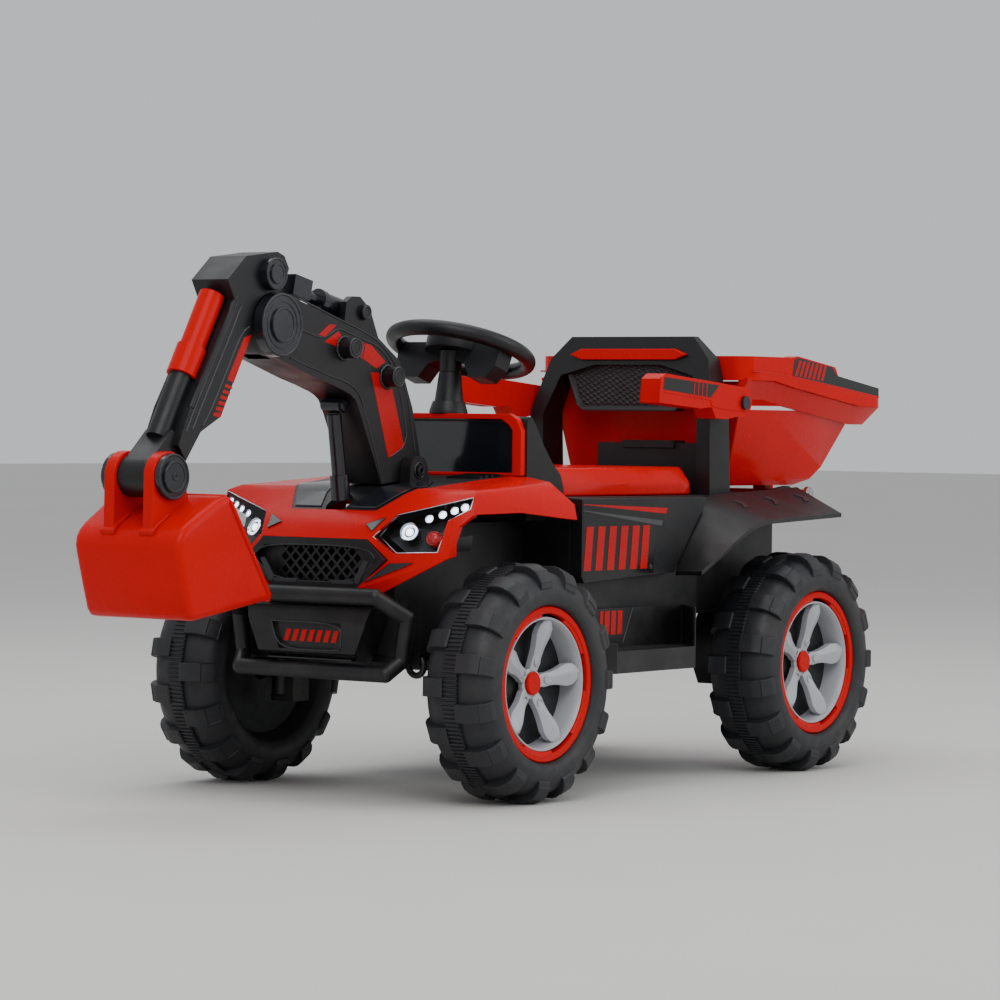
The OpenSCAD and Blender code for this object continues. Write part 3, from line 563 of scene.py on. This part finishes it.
RED_PRINT = moulded("red_print", (0.46, 0.0003, 0.0018), 0.22, 0.34, dust=0.02, shine=0.25)
BLACK_PRINT = moulded("black_print", (0.006, 0.0055, 0.005), 0.12, 0.2, coat=0.2, dust=0.03, shine=0.4)
GREY_PRINT = moulded("grey_print", (0.05, 0.051, 0.056), 0.25, 0.35)
# a lighter, bluer copy of the black plastic for the raised lines, rings and pads: a painted highlight along
# their edges
EDGE_BLACK_PAINTED_HIGHLIGHT = moulded("edge_black_painted_highlight", (0.016, 0.019, 0.023), 0.3, 0.42)
CHROME = brushed("lamp_chrome", (0.8, 0.83, 0.9), 0.08, 0.2)
DARK_CHROME = brushed("lamp_body", (0.16, 0.18, 0.24), 0.12, 0.25)


def make_boom_details():
    side_plates("boom_band", [
        [(-82.5, 499.3), (-55.3, 494.5), (-29, 476.6), (-45.3, 468.7), (-68.6, 478.8), (-82.2, 482.2)],
        [(-113.4, 508.1), (-103, 500), (-108, 489), (-125.1, 493.8), (-137.1, 496.3)],
        [(-116.2, 514.7), (-135.9, 501.8), (-147.7, 503.2), (-128.1, 515.4)],
    ], 25.6, 26.35, RED_PRINT, "boom_arm")
    side_plates("boom_leg_panel", [
        [(-55.3, 464.4), (-41.1, 464.6), (-17.4, 449.8), (6, 383.9), (-22.3, 370.7)],
    ], 25.6, 26.35, RED_PRINT, "boom_arm")
    side_plates("boom_band_lines", [
        [(y, 497.4), (y + 1.3, 497.2), (y - 3.5, 479.8), (y - 4.8, 480.3)] for y in (-75, -70.5, -66)
    ], 26.1, 26.5, BLACK_PRINT, "boom_arm", bevel=0)
    side_rails("boom_outline", [
        [(-184, 542.2), (-120, 523.5), (-46, 502.6), (-12, 477), (12, 440), (27, 376)],
        [(-177, 508), (-138.4, 498.6), (-114.8, 512.4), (-93.3, 506.2), (-44.4, 494.8), (-20, 476.6),
         (-2, 446), (14, 386), (-18, 372)],
        [(-195, 478), (-140, 462.5), (-90, 451.5), (-70, 437), (-34, 347)],
    ], 26.0, 1.0, EDGE_BLACK_PAINTED_HIGHLIGHT, "boom_arm")
    rings = []
    for knob in ((-103, 490), (-26, 460)):
        rings += [(knob, 10.4, 42.6, 1.1), (knob, 7.2, 43, 0.7), (knob, 12.6, 27, 1.6)]
    rings.append(((-64, 530), 6.6, 27, 1.1))
    side_rings("boom_knob_rings", rings, EDGE_BLACK_PAINTED_HIGHLIGHT, "boom_arm")
    side_rings("deck_ear_rings", [((15, 357), 8.6, 41.2, 1.2), ((15, 357), 3.6, 44, 0.7)], EDGE_BLACK_PAINTED_HIGHLIGHT,
               "chassis")


def make_stick_details():
    side_plates("stick_strip", [
        [(-270.8, 497.3), (-258.5, 501), (-266, 487), (-287, 449.5), (-297.5, 453)],
    ], 24.6, 25.35, RED_PRINT, "stick_arm")
    slats = []
    for i in range(6):
        y, z = -299.5 - 3.7 * i, 448.6 - 6.0 * i
        slats.append([(y, z), (y + 11, z - 3.5 + 0.6 * i), (y + 9.3, z - 5.8), (y - 1.9, z - 3.6)])
    side_plates("stick_slats", slats, 24.6, 25.35, RED_PRINT, "stick_arm")
    side_rails("stick_ridges", [
        [(-262, 509), (-275, 502), (-298, 462), (-324, 419), (-336, 404)],
        [(-283, 534), (-291, 519), (-321, 470), (-348, 424), (-362, 398)],
        [(-276, 531), (-284, 514), (-314, 465), (-340, 421), (-352, 400)],
    ], 24.7, 1.3, EDGE_BLACK_PAINTED_HIGHLIGHT, "stick_arm")
    side_rails("stick_front_roll", [[(-282, 541), (-290, 524), (-329.5, 460), (-353, 423)]],
               22.6, 3.6, MAT["black_plastic"], "stick_arm")
    rings = [((-223, 512), 32.2, 37.6, 1.6), ((-223, 512), 17.6, 40, 1.1), ((-223, 512), 25, 38, 0.8),
             ((-228, 566), 16, 33.8, 1.3), ((-228, 566), 10, 35.5, 0.8)]
    side_rings("stick_cap_rings", rings, EDGE_BLACK_PAINTED_HIGHLIGHT, "stick_arm")


# the bucket in side view, from the lower lip round the front to the upper lip
BUCKET_LINE = [(-284, 223), (-340, 214), (-396, 205), (-404, 206.5), (-409, 212.5), (-417, 240),
               (-425, 270), (-427, 280), (-425.5, 289), (-420, 297), (-412, 303.5), (-388, 317.5),
               (-366, 330), (-360, 332.5), (-355, 333)]


def bucket_ring(inset):
    """The bucket's line moved inward, its two ends sliding along the mouth."""
    points = [Vector(p) for p in BUCKET_LINE]
    mouth = (points[-1] - points[0]).normalized()
    moved = []
    for i, p in enumerate(points):
        if i in (0, len(points) - 1):
            moved.append(p + mouth * inset * (1 if i == 0 else -1))
            continue
        way = (points[i + 1] - points[i - 1]).normalized()
        moved.append(p + Vector((-way.y, way.x)) * -inset)
    return moved


def bucket_half_width(y, z, half):
    """Half widths grow toward the mouth."""
    reach = (y + 427 + (z - 206) * 0.56) / 143.0
    return half * (1 + 0.1 * max(0.0, min(1.0, reach)))


def build_bucket(bm):
    """Outer and inner skin across the bucket, with rolled sides, joined along the mouth."""
    skins = []
    for inner in (False, True):
        base, half = (3.6, 66.4) if inner else (0.0, 70.0)
        steps = [(1.0, 9.0), (0.993, 5.6), (0.972, 2.6), (0.94, 0.8), (0.89, 0.0)]
        stations = [(-f, d) for f, d in steps] + [(f, d) for f, d in reversed(steps)]
        rows = []
        for fraction, inset in stations:
            line = bucket_ring(base + inset)
            rows.append([bm.verts.new(at(bucket_half_width(p.x, p.y, half) * fraction, p.x, p.y))
                         for p in line])
        skins.append(rows)
        for here, there in zip(rows, rows[1:]):
            for k in range(len(here) - 1):
                bm.faces.new((here[k], here[k + 1], there[k + 1], there[k]))
        bm.faces.new(rows[0])
        bm.faces.new(rows[-1][::-1])
    outer, inner = skins
    for k in (0, -1):
        for i in range(len(outer) - 1):
            bm.faces.new((outer[i][k], outer[i + 1][k], inner[i + 1][k], inner[i][k]))
    for i in (0, -1):
        bm.faces.new((outer[i][0], outer[i][-1], inner[i][-1], inner[i][0]))


def build_bucket_lip(bm):
    """The rolled edge round the mouth."""
    low, high = BUCKET_LINE[0], BUCKET_LINE[-1]
    loop = [(-73, low[0] + 1, low[1] + 1), (-77, low[0] - 4, low[1] + 7), (-77, high[0] + 4, high[1] - 7),
            (-72, high[0], high[1] - 1), (72, high[0], high[1] - 1), (77, high[0] + 4, high[1] - 7),
            (77, low[0] - 4, low[1] + 7), (73, low[0] + 1, low[1] + 1)]
    tube(bm, [at(*p) for p in loop], 2.4 * MM, closed=True, sides=10)


def build_bucket_ears(bm):
    """Two upright ears with a round head, each on a low foot."""
    for side in (1, -1):
        outline = [(-397 + 26 * math.cos(math.radians(a)), 352 + 26 * math.sin(math.radians(a)))
                   for a in range(-8, 189, 14)]
        outline += [(-424, 290), (-408, 304), (-366, 328), (-369, 336)]
        x0, x1 = (19.6, 33.6) if side > 0 else (-33.6, -19.6)
        prism(bm, [at(x0, y, z) for y, z in outline], Vector(((x1 - x0) * MM, 0, 0)))
        foot = [(-427, 296), (-420, 303), (-398, 316), (-400, 311), (-419, 298), (-424, 291)]
        prism(bm, [at(x0 - 2.5, y, z) for y, z in foot], Vector(((x1 - x0 + 5) * MM, 0, 0)))


def make_bucket():
    red = MAT["red_shell"]
    shell = add_mesh("bucket_shell", build_bucket, red, 50)
    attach(shell, "scoop")
    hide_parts("bucket")
    lip = add_mesh("bucket_lip", build_bucket_lip, red, 80)
    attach(lip, "scoop")
    ears = add_mesh("bucket_ears", build_bucket_ears, red, 30)
    edge_bevel(ears, 2.0, 3)
    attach(ears, "scoop")
    side_rails("bucket_lines", [[(-357, 312), (-384, 297.5), (-394, 288), (-397, 274)]], 71.0, 1.5, red,
               "scoop")
    side_rings("bucket_cap_rings", [((-397, 352), 22.6, 38.8, 1.4), ((-397, 352), 15.4, 41, 1.0),
                                    ((-397, 352), 3.2, 41.1, 0.9)], EDGE_BLACK_PAINTED_HIGHLIGHT, "scoop")


# ---------- prints and plates on the body ----------

def make_side_prints():
    """A glossy sticker with stripes and slanted bars on each side panel, and bars in each step."""
    side_plates("panel_sticker", [[(156, 242), (161, 234.5), (298.3, 240.5), (298.3, 325.5), (156, 325.5)]],
                164.7, 165.2, BLACK_PRINT, "chassis", bevel=0.1)
    side_plates("panel_stripe", [[(155.5, 321), (325.3, 314.9), (322.4, 308.3), (155.5, 320.4)]],
                164.9, 165.5, RED_PRINT, "chassis", bevel=0)
    side_plates("panel_thin_stripe", [[(155.5, 314), (316.1, 300.5), (313.1, 294.4), (155.5, 313.3)]],
                164.9, 165.45, GREY_PRINT, "chassis", bevel=0)
    bars = [[(y, 246), (y + 14, 246), (y + 19.5, 295.5), (y + 5.5, 295.5)]
            for y in (157, 180, 203, 226, 249, 270)]
    side_plates("panel_bars", bars, 165.1, 165.6, RED_PRINT, "chassis", bevel=0)
    side_rings("panel_screws", [((292, 248), 2.6, 165.5, 0.6), ((292, 248), 1.0, 165.4, 0.8)],
               EDGE_BLACK_PAINTED_HIGHLIGHT, "chassis")
    step_bars = [[(y0, 172), (y1, 172), (y1 + 1, 199), (y0 + 1, 199)]
                 for y0, y1 in ((201.8, 207.5), (211, 220.5), (224, 233.5), (237, 246.5))]
    side_plates("step_bars", step_bars, 156.8, 157.5, RED_PRINT, "chassis", bevel=0)
    side_rails("step_lines", [[(268, 201), (249, 162)]], 157.2, 0.8, EDGE_BLACK_PAINTED_HIGHLIGHT, "chassis")


def make_arm_rest_prints():
    """A slanted sticker with thin bars, and moulded seams, on the outer side of each armrest."""
    for side, body in ((1, "armrest_left"), (-1, "armrest_right")):
        side_plates(body + "_sticker", [[(324, 466), (440, 458), (421.6, 443.5), (321.5, 451.6)]],
                    159.7, 160.3, BLACK_PRINT, body, sides=(side,), bevel=0.1)
        bars = [[(y, z), (y + 1.9, z - 0.1), (y + 0.7, z - 15.6), (y - 1.2, z - 15.5)]
                for y, z in ((385.6, 461.3), (394.4, 460.7), (403.2, 460.1), (412, 459.5))]
        side_plates(body + "_bars", bars, 160.1, 160.6, RED_PRINT, body, sides=(side,), bevel=0)
        side_rails(body + "_seams", [
            [(316.5, 466), (314, 451), (313.5, 438)],
            [(448, 459), (421, 440.5), (423, 433), (470, 429), (500, 428)],
            [(322, 449), (421, 440.8)],
        ], 160.0, 0.7, MAT["red_shell"], body, sides=(side,))


def make_bed_prints():
    """A stepped sticker with slanted bars on the bed's rim."""
    side_plates("bed_sticker", [
        [(618.4, 491.5), (626, 494), (697.9, 484.9), (705.7, 484.4), (717.8, 473.6), (818.4, 459.5),
         (818.7, 449), (694.5, 463), (614, 472)],
    ], 152.7, 153.4, BLACK_PRINT, "bed", bevel=0.1)
    bars = []
    for i in range(7):
        f = i / 6
        y, z = 628 + 58.1 * f, 490.9 - 4.9 * f
        bars.append([(y, z), (y + 6, z - 0.5), (y - 4.5 + 3 * f, z - 19.6), (y - 10.5 + 3 * f, z - 19)])
    side_plates("bed_bars", bars, 153.2, 153.7, RED_PRINT, "bed", bevel=0)
    side_rails("bed_rim_lines", [[(520, 475.5), (550, 475.5), (616, 470.5), (815, 448.2)]], 155.4, 1.0,
               MAT["red_shell"], "bed")


def build_bed_skirt(bm):
    """The slope from the bed's side up to its overhanging rim, inside both."""
    for side in (1, -1):
        rows = []
        for y, rim_z in ((516, 464.5), (570, 464), (612, 457.2), (772, 435.6), (822, 435.6)):
            wall = 141 - max(0, y - 811)
            section = [(151.5, rim_z), (wall - 2.5, rim_z - 22), (wall - 6, rim_z - 22), (138, rim_z + 3),
                       (151.5, rim_z + 3)]
            rows.append([bm.verts.new(at(side * x, y, z)) for x, z in section])
        for here, there in zip(rows, rows[1:]):
            for k in range(5):
                bm.faces.new((here[k], here[(k + 1) % 5], there[(k + 1) % 5], there[k]))
        bm.faces.new(rows[0])
        bm.faces.new(rows[-1][::-1])


def make_bed_skirt():
    skirt = add_mesh("bed_skirt", build_bed_skirt, MAT["red_shell"], 30)
    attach(skirt, "bed")


def fender_z(x, y):
    """Height of the fender's top plate."""
    return 328 - 0.4921 * (x - 150) + 0.0409 * (y - 412)


def build_fender_marks(bm):
    """Three raised chevrons on top of each rear fender."""
    for side in (1, -1):
        up = Vector((side * 0.4921, -0.0409, 1)).normalized()
        for x, y in ((175, 469), (174, 540), (174, 607)):
            points = []
            for along, across in ((-9, -8), (1, -8), (8, 0), (1, 8), (-9, 8), (-2, 0)):
                p = at(side * (x + across), y + along, fender_z(x + across, y + along))
                points.append(p - up * 0.4 * MM)
            prism(bm, points, up * 1.5 * MM)


def make_fender_marks():
    marks = add_mesh("fender_marks", build_fender_marks, EDGE_BLACK_PAINTED_HIGHLIGHT, 30)
    edge_bevel(marks, 0.4)
    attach(marks, "chassis")


# inner and outer points of the fender: at its foot, where it bends, and at the rear; in mm
FENDER_INNER = [(165, 344, 241), (150, 412.6, 328), (150, 632, 337)]
FENDER_OUTER = [(212, 328, 243), (212, 449, 299), (212, 636, 306)]


def fender_line(points, t):
    """A point on a line of three points with a soft bend; t runs from 0 to 2."""
    a, b, c = (Vector(p) for p in points)
    near, far = b.lerp(a, 0.3), b.lerp(c, 0.16)
    if t < 0.7:
        return a.lerp(near, t / 0.7)
    if t > 1.3:
        return far.lerp(c, (t - 1.3) / 0.7)
    f = (t - 0.7) / 0.6
    return near.lerp(b, f).lerp(b.lerp(far, f), f)


def build_fenders(bm):
    """A smooth twisted facet that turns into the top plate, 5 mm thick."""
    across, along = 8, 40
    for side in (1, -1):
        skins = []
        for drop in (Vector((0, 0, 0)), Vector((-2, 3, -5))):
            rows = []
            for j in range(along + 1):
                inner = fender_line(FENDER_INNER, 2 * j / along)
                outer = fender_line(FENDER_OUTER, 2 * j / along)
                points = [inner.lerp(outer, i / across) + drop for i in range(across + 1)]
                rows.append([bm.verts.new(at(side * p.x, p.y, p.z)) for p in points])
            skins.append(rows)
        for rows in skins:
            for here, there in zip(rows, rows[1:]):
                for k in range(across):
                    bm.faces.new((here[k], here[k + 1], there[k + 1], there[k]))
        top, under = skins
        for j in range(along):
            for k in (0, -1):
                bm.faces.new((top[j][k], top[j + 1][k], under[j + 1][k], under[j][k]))
        for j in (0, -1):
            for k in range(across):
                bm.faces.new((top[j][k], top[j][k + 1], under[j][k + 1], under[j][k]))


def make_fenders():
    fenders = add_mesh("fender_shells", build_fenders, MAT["black_plastic"], 40)
    edge_bevel(fenders, 0.8)
    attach(fenders, "chassis")
    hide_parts("rear_fenders")


# ---------- quilted cushion in the seat back ----------

# height and half width of the cushion's outline
PAD_ROWS = [(427, 68), (434, 78), (471, 92), (483, 48)]
PAD_LOW, PAD_HIGH = PAD_ROWS[0][0], PAD_ROWS[-1][0]
PAD_FACE_Y = 489.5
PAD_BACK_Y = 500.5


def pad_half_width(z):
    for (z0, w0), (z1, w1) in zip(PAD_ROWS, PAD_ROWS[1:]):
        if z <= z1:
            return w0 + (w1 - w0) * (z - z0) / (z1 - z0)
    return PAD_ROWS[-1][1]


def pad_front(x, z, half):
    """How far the cushion's front stands out: a round roll at the border, quilted diamonds inside."""
    edge = min(half - abs(x), z - PAD_LOW + 1.5)
    if edge < 8:
        return 5.0 * math.sin(math.pi * max(0.0, min(1.0, (edge + 1) / 9)) ** 0.8)
    seams = abs(math.sin(math.pi * (x + 1.3 * z) / 8.6)) * abs(math.sin(math.pi * (0.45 * x - z) / 6.4))
    return 2.6 * seams ** 0.5 * min(1.0, (edge - 8) / 2)


def build_pad(bm):
    columns, rows = 190, 64
    front, back = [], []
    for j in range(rows + 1):
        z = PAD_LOW + (PAD_HIGH - PAD_LOW) * j / rows
        half = pad_half_width(z)
        xs = [half * (2 * i / columns - 1) for i in range(columns + 1)]
        front.append([bm.verts.new(at(x, PAD_FACE_Y - pad_front(x, z, half), z)) for x in xs])
        back.append([bm.verts.new(at(x, PAD_BACK_Y, z)) for x in (xs[0], xs[-1])])
    for here, there in zip(front, front[1:]):
        for k in range(columns):
            bm.faces.new((here[k], here[k + 1], there[k + 1], there[k]))
    for j in range(rows):
        bm.faces.new((back[j][0], back[j][1], back[j + 1][1], back[j + 1][0]))
        bm.faces.new((front[j][0], back[j][0], back[j + 1][0], front[j + 1][0]))
        bm.faces.new((front[j][-1], back[j][1], back[j + 1][1], front[j + 1][-1]))
    bm.faces.new(front[0] + back[0][::-1])
    bm.faces.new(front[-1] + back[-1][::-1])


def make_pad():
    pad = add_mesh("quilted_pad", build_pad, MAT["cushion"], 60)
    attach(pad, "chassis")
    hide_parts("seat_back_pad")


# ---------- lamps, grille and screens ----------

# the lens plane's normal, and lamp places on the left side in mm
LAMP_NORMAL = Vector((0.225, -0.889, 0.399)).normalized()
MAIN_LAMP = (108.6, -91.6, 293.4)
SMALL_LAMPS = [(127, -80.5, 307.7), (140.9, -75, 312.3), (153.1, -69.9, 316.8), (164, -66, 320.5)]
SIDE_LAMP = (137, -86.9, 287.7)


def lamp_frame(point, side, depth):
    """The frame of a lamp on one side: Z looks out of the lens, the origin lies a depth in mm under it."""
    normal = Vector((side * LAMP_NORMAL.x, LAMP_NORMAL.y, LAMP_NORMAL.z))
    origin = at(side * point[0], point[1], point[2]) - normal * depth * MM
    return Matrix.Translation(origin) @ normal.to_track_quat("Z", "Y").to_matrix().to_4x4()


def turned(bm, profile, place, steps=36):
    """A list of (radius, height) in mm turned round the Z axis of a frame."""
    rings = []
    for i in range(steps):
        a = 2 * math.pi * i / steps
        rings.append([bm.verts.new(place @ Vector((r * MM * math.cos(a), r * MM * math.sin(a), h * MM)))
                      for r, h in profile])
    for i, here in enumerate(rings):
        there = rings[(i + 1) % steps]
        for k in range(len(profile) - 1):
            bm.faces.new((here[k], here[k + 1], there[k + 1], there[k]))


# outline of a lens from the front, as (x, z)
LENS_OUTLINE = [(77.6, 287), (92.3, 310.4), (171.6, 330.2), (171.6, 318.3), (150.6, 305), (147.6, 271.4),
                (102.3, 269.4)]


def build_lens_edges(bm):
    """A bright line round each lens, on the plane of its face."""
    n = LAMP_NORMAL
    for side in (1, -1):
        points = []
        for x, z in LENS_OUTLINE:
            y = MAIN_LAMP[1] - (n.x * (x - MAIN_LAMP[0]) + n.z * (z - MAIN_LAMP[2])) / n.y
            points.append(at(side * x, y, z))
        tube(bm, points, 0.7 * MM, closed=True)


def lamp_set(name, points, profile, depth, material):
    """One turned shape at each of the given lamps, on both sides."""
    def build(bm):
        for side in (1, -1):
            for point in points:
                turned(bm, profile, lamp_frame(point, side, depth))
    obj = add_mesh(name, build, material, 50)
    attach(obj, "chassis")


def make_lamps():
    paint(NODES["headlight_leds"], DARK_CHROME)
    bowl = [(9.5, 0), (10.8, 1.8), (10.4, 2.4), (9.4, 1.6), (8.2, 0.3), (7.4, 0.3), (6.9, 1.5), (6.2, 1.5),
            (5.6, 0.4)]
    lamp_set("main_reflectors", [MAIN_LAMP], bowl, 3.9, CHROME)
    lamp_set("main_glow", [MAIN_LAMP], [(4.4, 0.1), (4.0, 1.2), (2.8, 2.0), (1.2, 2.5), (0.02, 2.6)], 3.9,
             MAT["led"])
    lamp_set("glow_rings", [MAIN_LAMP], [(8.3, 0.6), (8.0, 1.1), (7.7, 0.6)], 3.8, MAT["led"])
    cup = [(3.6, 0), (4.9, 1.4), (4.6, 1.8), (3.4, 0.4)]
    lamp_set("small_reflectors", SMALL_LAMPS, cup, 3.9, CHROME)
    lamp_set("small_glow", SMALL_LAMPS, [(3.2, 0.1), (2.6, 1.3), (1.3, 2.0), (0.02, 2.2)], 3.9, MAT["led"])
    dome = [(7.7, 0), (8.3, 0.9), (7.9, 1.8), (6.6, 1.6), (6.2, 2.6), (4.4, 3.9), (2.2, 4.5), (0.02, 4.7)]
    lamp_set("side_lamp_domes", [SIDE_LAMP], dome, 5.2, MAT["amber"])
    edge = add_mesh("lens_edges", build_lens_edges, CHROME, 60)
    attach(edge, "chassis")


def front_plates(name, outlines, y0, y1, material, bevel=0.3, mirrored=True):
    """Plates with (x, z) outlines, from y0 back to y1."""
    def build(bm):
        for side in (1, -1) if mirrored else (1,):
            for outline in outlines:
                prism(bm, [at(side * x, y0, z) for x, z in outline], Vector((0, (y1 - y0) * MM, 0)))
    obj = add_mesh(name, build, material, 30)
    if bevel:
        edge_bevel(obj, bevel)
    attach(obj, "chassis")


def front_lines(name, lines, y, radius, material, closed=False):
    """Thin raised lines through (x, z) points on a face that looks forward."""
    def build(bm):
        for line in lines:
            points = rounded(line + [line[0]]) if closed else rounded(line)
            tube(bm, [at(x, y, z) for x, z in points], radius * MM)
    obj = add_mesh(name, build, material, 60)
    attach(obj, "chassis")


def make_front():
    """Raised details of the grille, the blank plate, the skid plate and the windscreen."""
    front_plates("grille_pads", [
        [(25.5, 234.4), (21.5, 239), (58, 238.8), (54.5, 234.4)],
        [(56, 238), (56.5, 242.3), (69, 261), (75.5, 260), (62.5, 235.4), (58, 234.8)],
    ], -119, -117.6, EDGE_BLACK_PAINTED_HIGHLIGHT)
    front_lines("grille_inner_line", [[(-87, 262), (-69, 276), (69, 276), (87, 262), (54, 236), (-54, 236)]],
                -117.8, 0.9, EDGE_BLACK_PAINTED_HIGHLIGHT, closed=True)
    front_lines("plate_border", [[(-48.5, 192.5), (-38.5, 162.5), (46.5, 162.5), (48.7, 168), (48.7, 192.5)]],
                -131.2, 1.0, EDGE_BLACK_PAINTED_HIGHLIGHT, closed=True)
    bars = [[(x, 171), (x + 6.5, 171), (x + 11, 184), (x + 4.5, 184)] for x in range(-34, 34, 11)]
    front_plates("plate_bars", bars, -127.5, -126.8, RED_PRINT, 0, mirrored=False)
    front_lines("plate_ridges", [[(-58, 152.6), (58, 152.6)], [(-62, 157.6), (62, 157.6)]], -123.6, 1.2,
                EDGE_BLACK_PAINTED_HIGHLIGHT)
    screen = [(-104, 358), (-104, 402), (-99, 409), (-92, 413), (92, 413), (99, 409), (104, 402),
              (104, 358)]
    front_lines("screen_gasket", [screen], 109.2, 1.1, EDGE_BLACK_PAINTED_HIGHLIGHT)


make_boom_details()
make_stick_details()
make_bucket()
make_side_prints()
make_arm_rest_prints()
make_bed_prints()
make_bed_skirt()
make_fenders()
make_fender_marks()
make_pad()
make_lamps()
make_front()


# ---------- camera, light and floor ----------

# azimuth, elevation and roll in degrees, lens in mm, distance in metres
VIEW_ANGLES = (36.1, 1.17, 0.68)
LENS_MM = 141.03
CAMERA_DISTANCE = 4.603


def make_camera():
    """The viewpoint: in front of the left headlight, just above the wheels, with a long lens."""
    azimuth, elevation, roll = (math.radians(a) for a in VIEW_ANGLES)
    back = Vector((math.sin(azimuth) * math.cos(elevation),
                   -math.cos(azimuth) * math.cos(elevation), math.sin(elevation)))
    side = Vector((math.cos(azimuth), math.sin(azimuth), 0))
    rise = back.cross(side)
    right = side * math.cos(roll) + rise * math.sin(roll)
    up = rise * math.cos(roll) - side * math.sin(roll)
    target = Vector((-0.0392, AXLE_Y + 0.2775, 0.3201))
    camera = bpy.data.objects.new("camera", bpy.data.cameras.new("camera"))
    bpy.context.scene.collection.objects.link(camera)
    camera.data.lens = LENS_MM
    camera.data.sensor_width = 36.0
    camera.matrix_world = Matrix.Translation(target + back * CAMERA_DISTANCE) @ Matrix(
        (right, up, back)).transposed().to_4x4()
    bpy.context.scene.camera = camera


def make_studio():
    """A pale floor, an even sky and three soft lamps."""
    bpy.ops.mesh.primitive_plane_add(size=40, location=(0, 6, 0))
    floor = bpy.context.object
    floor.name = "floor"
    s = Shader("floor", (0.62, 0.61, 0.59), 0.7)
    s.tint(s.ramp(s.noise(1.2, 6), 0.3, 0.8, 0.0, 0.3), (0.52, 0.51, 0.495))
    s.rough(s.noise(8, 6), 0.62, 0.8)
    paint(floor, s.mat)
    world = bpy.data.worlds.new("studio")
    bpy.context.scene.world = world
    world.use_nodes = True
    sky = world.node_tree.nodes["Background"]
    sky.inputs["Color"].default_value = (0.86, 0.88, 0.9, 1)
    sky.inputs["Strength"].default_value = 0.75
    # place in metres, size in metres and energy in watts
    lights = {"key": ((1.6, -2.4, 2.6), 2.2, 50), "fill": ((2.8, 1.2, 1.8), 2.6, 35),
              "top": ((-0.6, 0.4, 3.2), 3.0, 55)}
    for name, (place, size, energy) in lights.items():
        light = bpy.data.lights.new(name, "AREA")
        light.size = size
        light.energy = energy
        lamp = bpy.data.objects.new(name, light)
        lamp.location = place
        lamp.rotation_euler = (Vector(place) - Vector((0, 0, 0.3))).to_track_quat("Z", "Y").to_euler()
        bpy.context.scene.collection.objects.link(lamp)


make_camera()
make_studio()
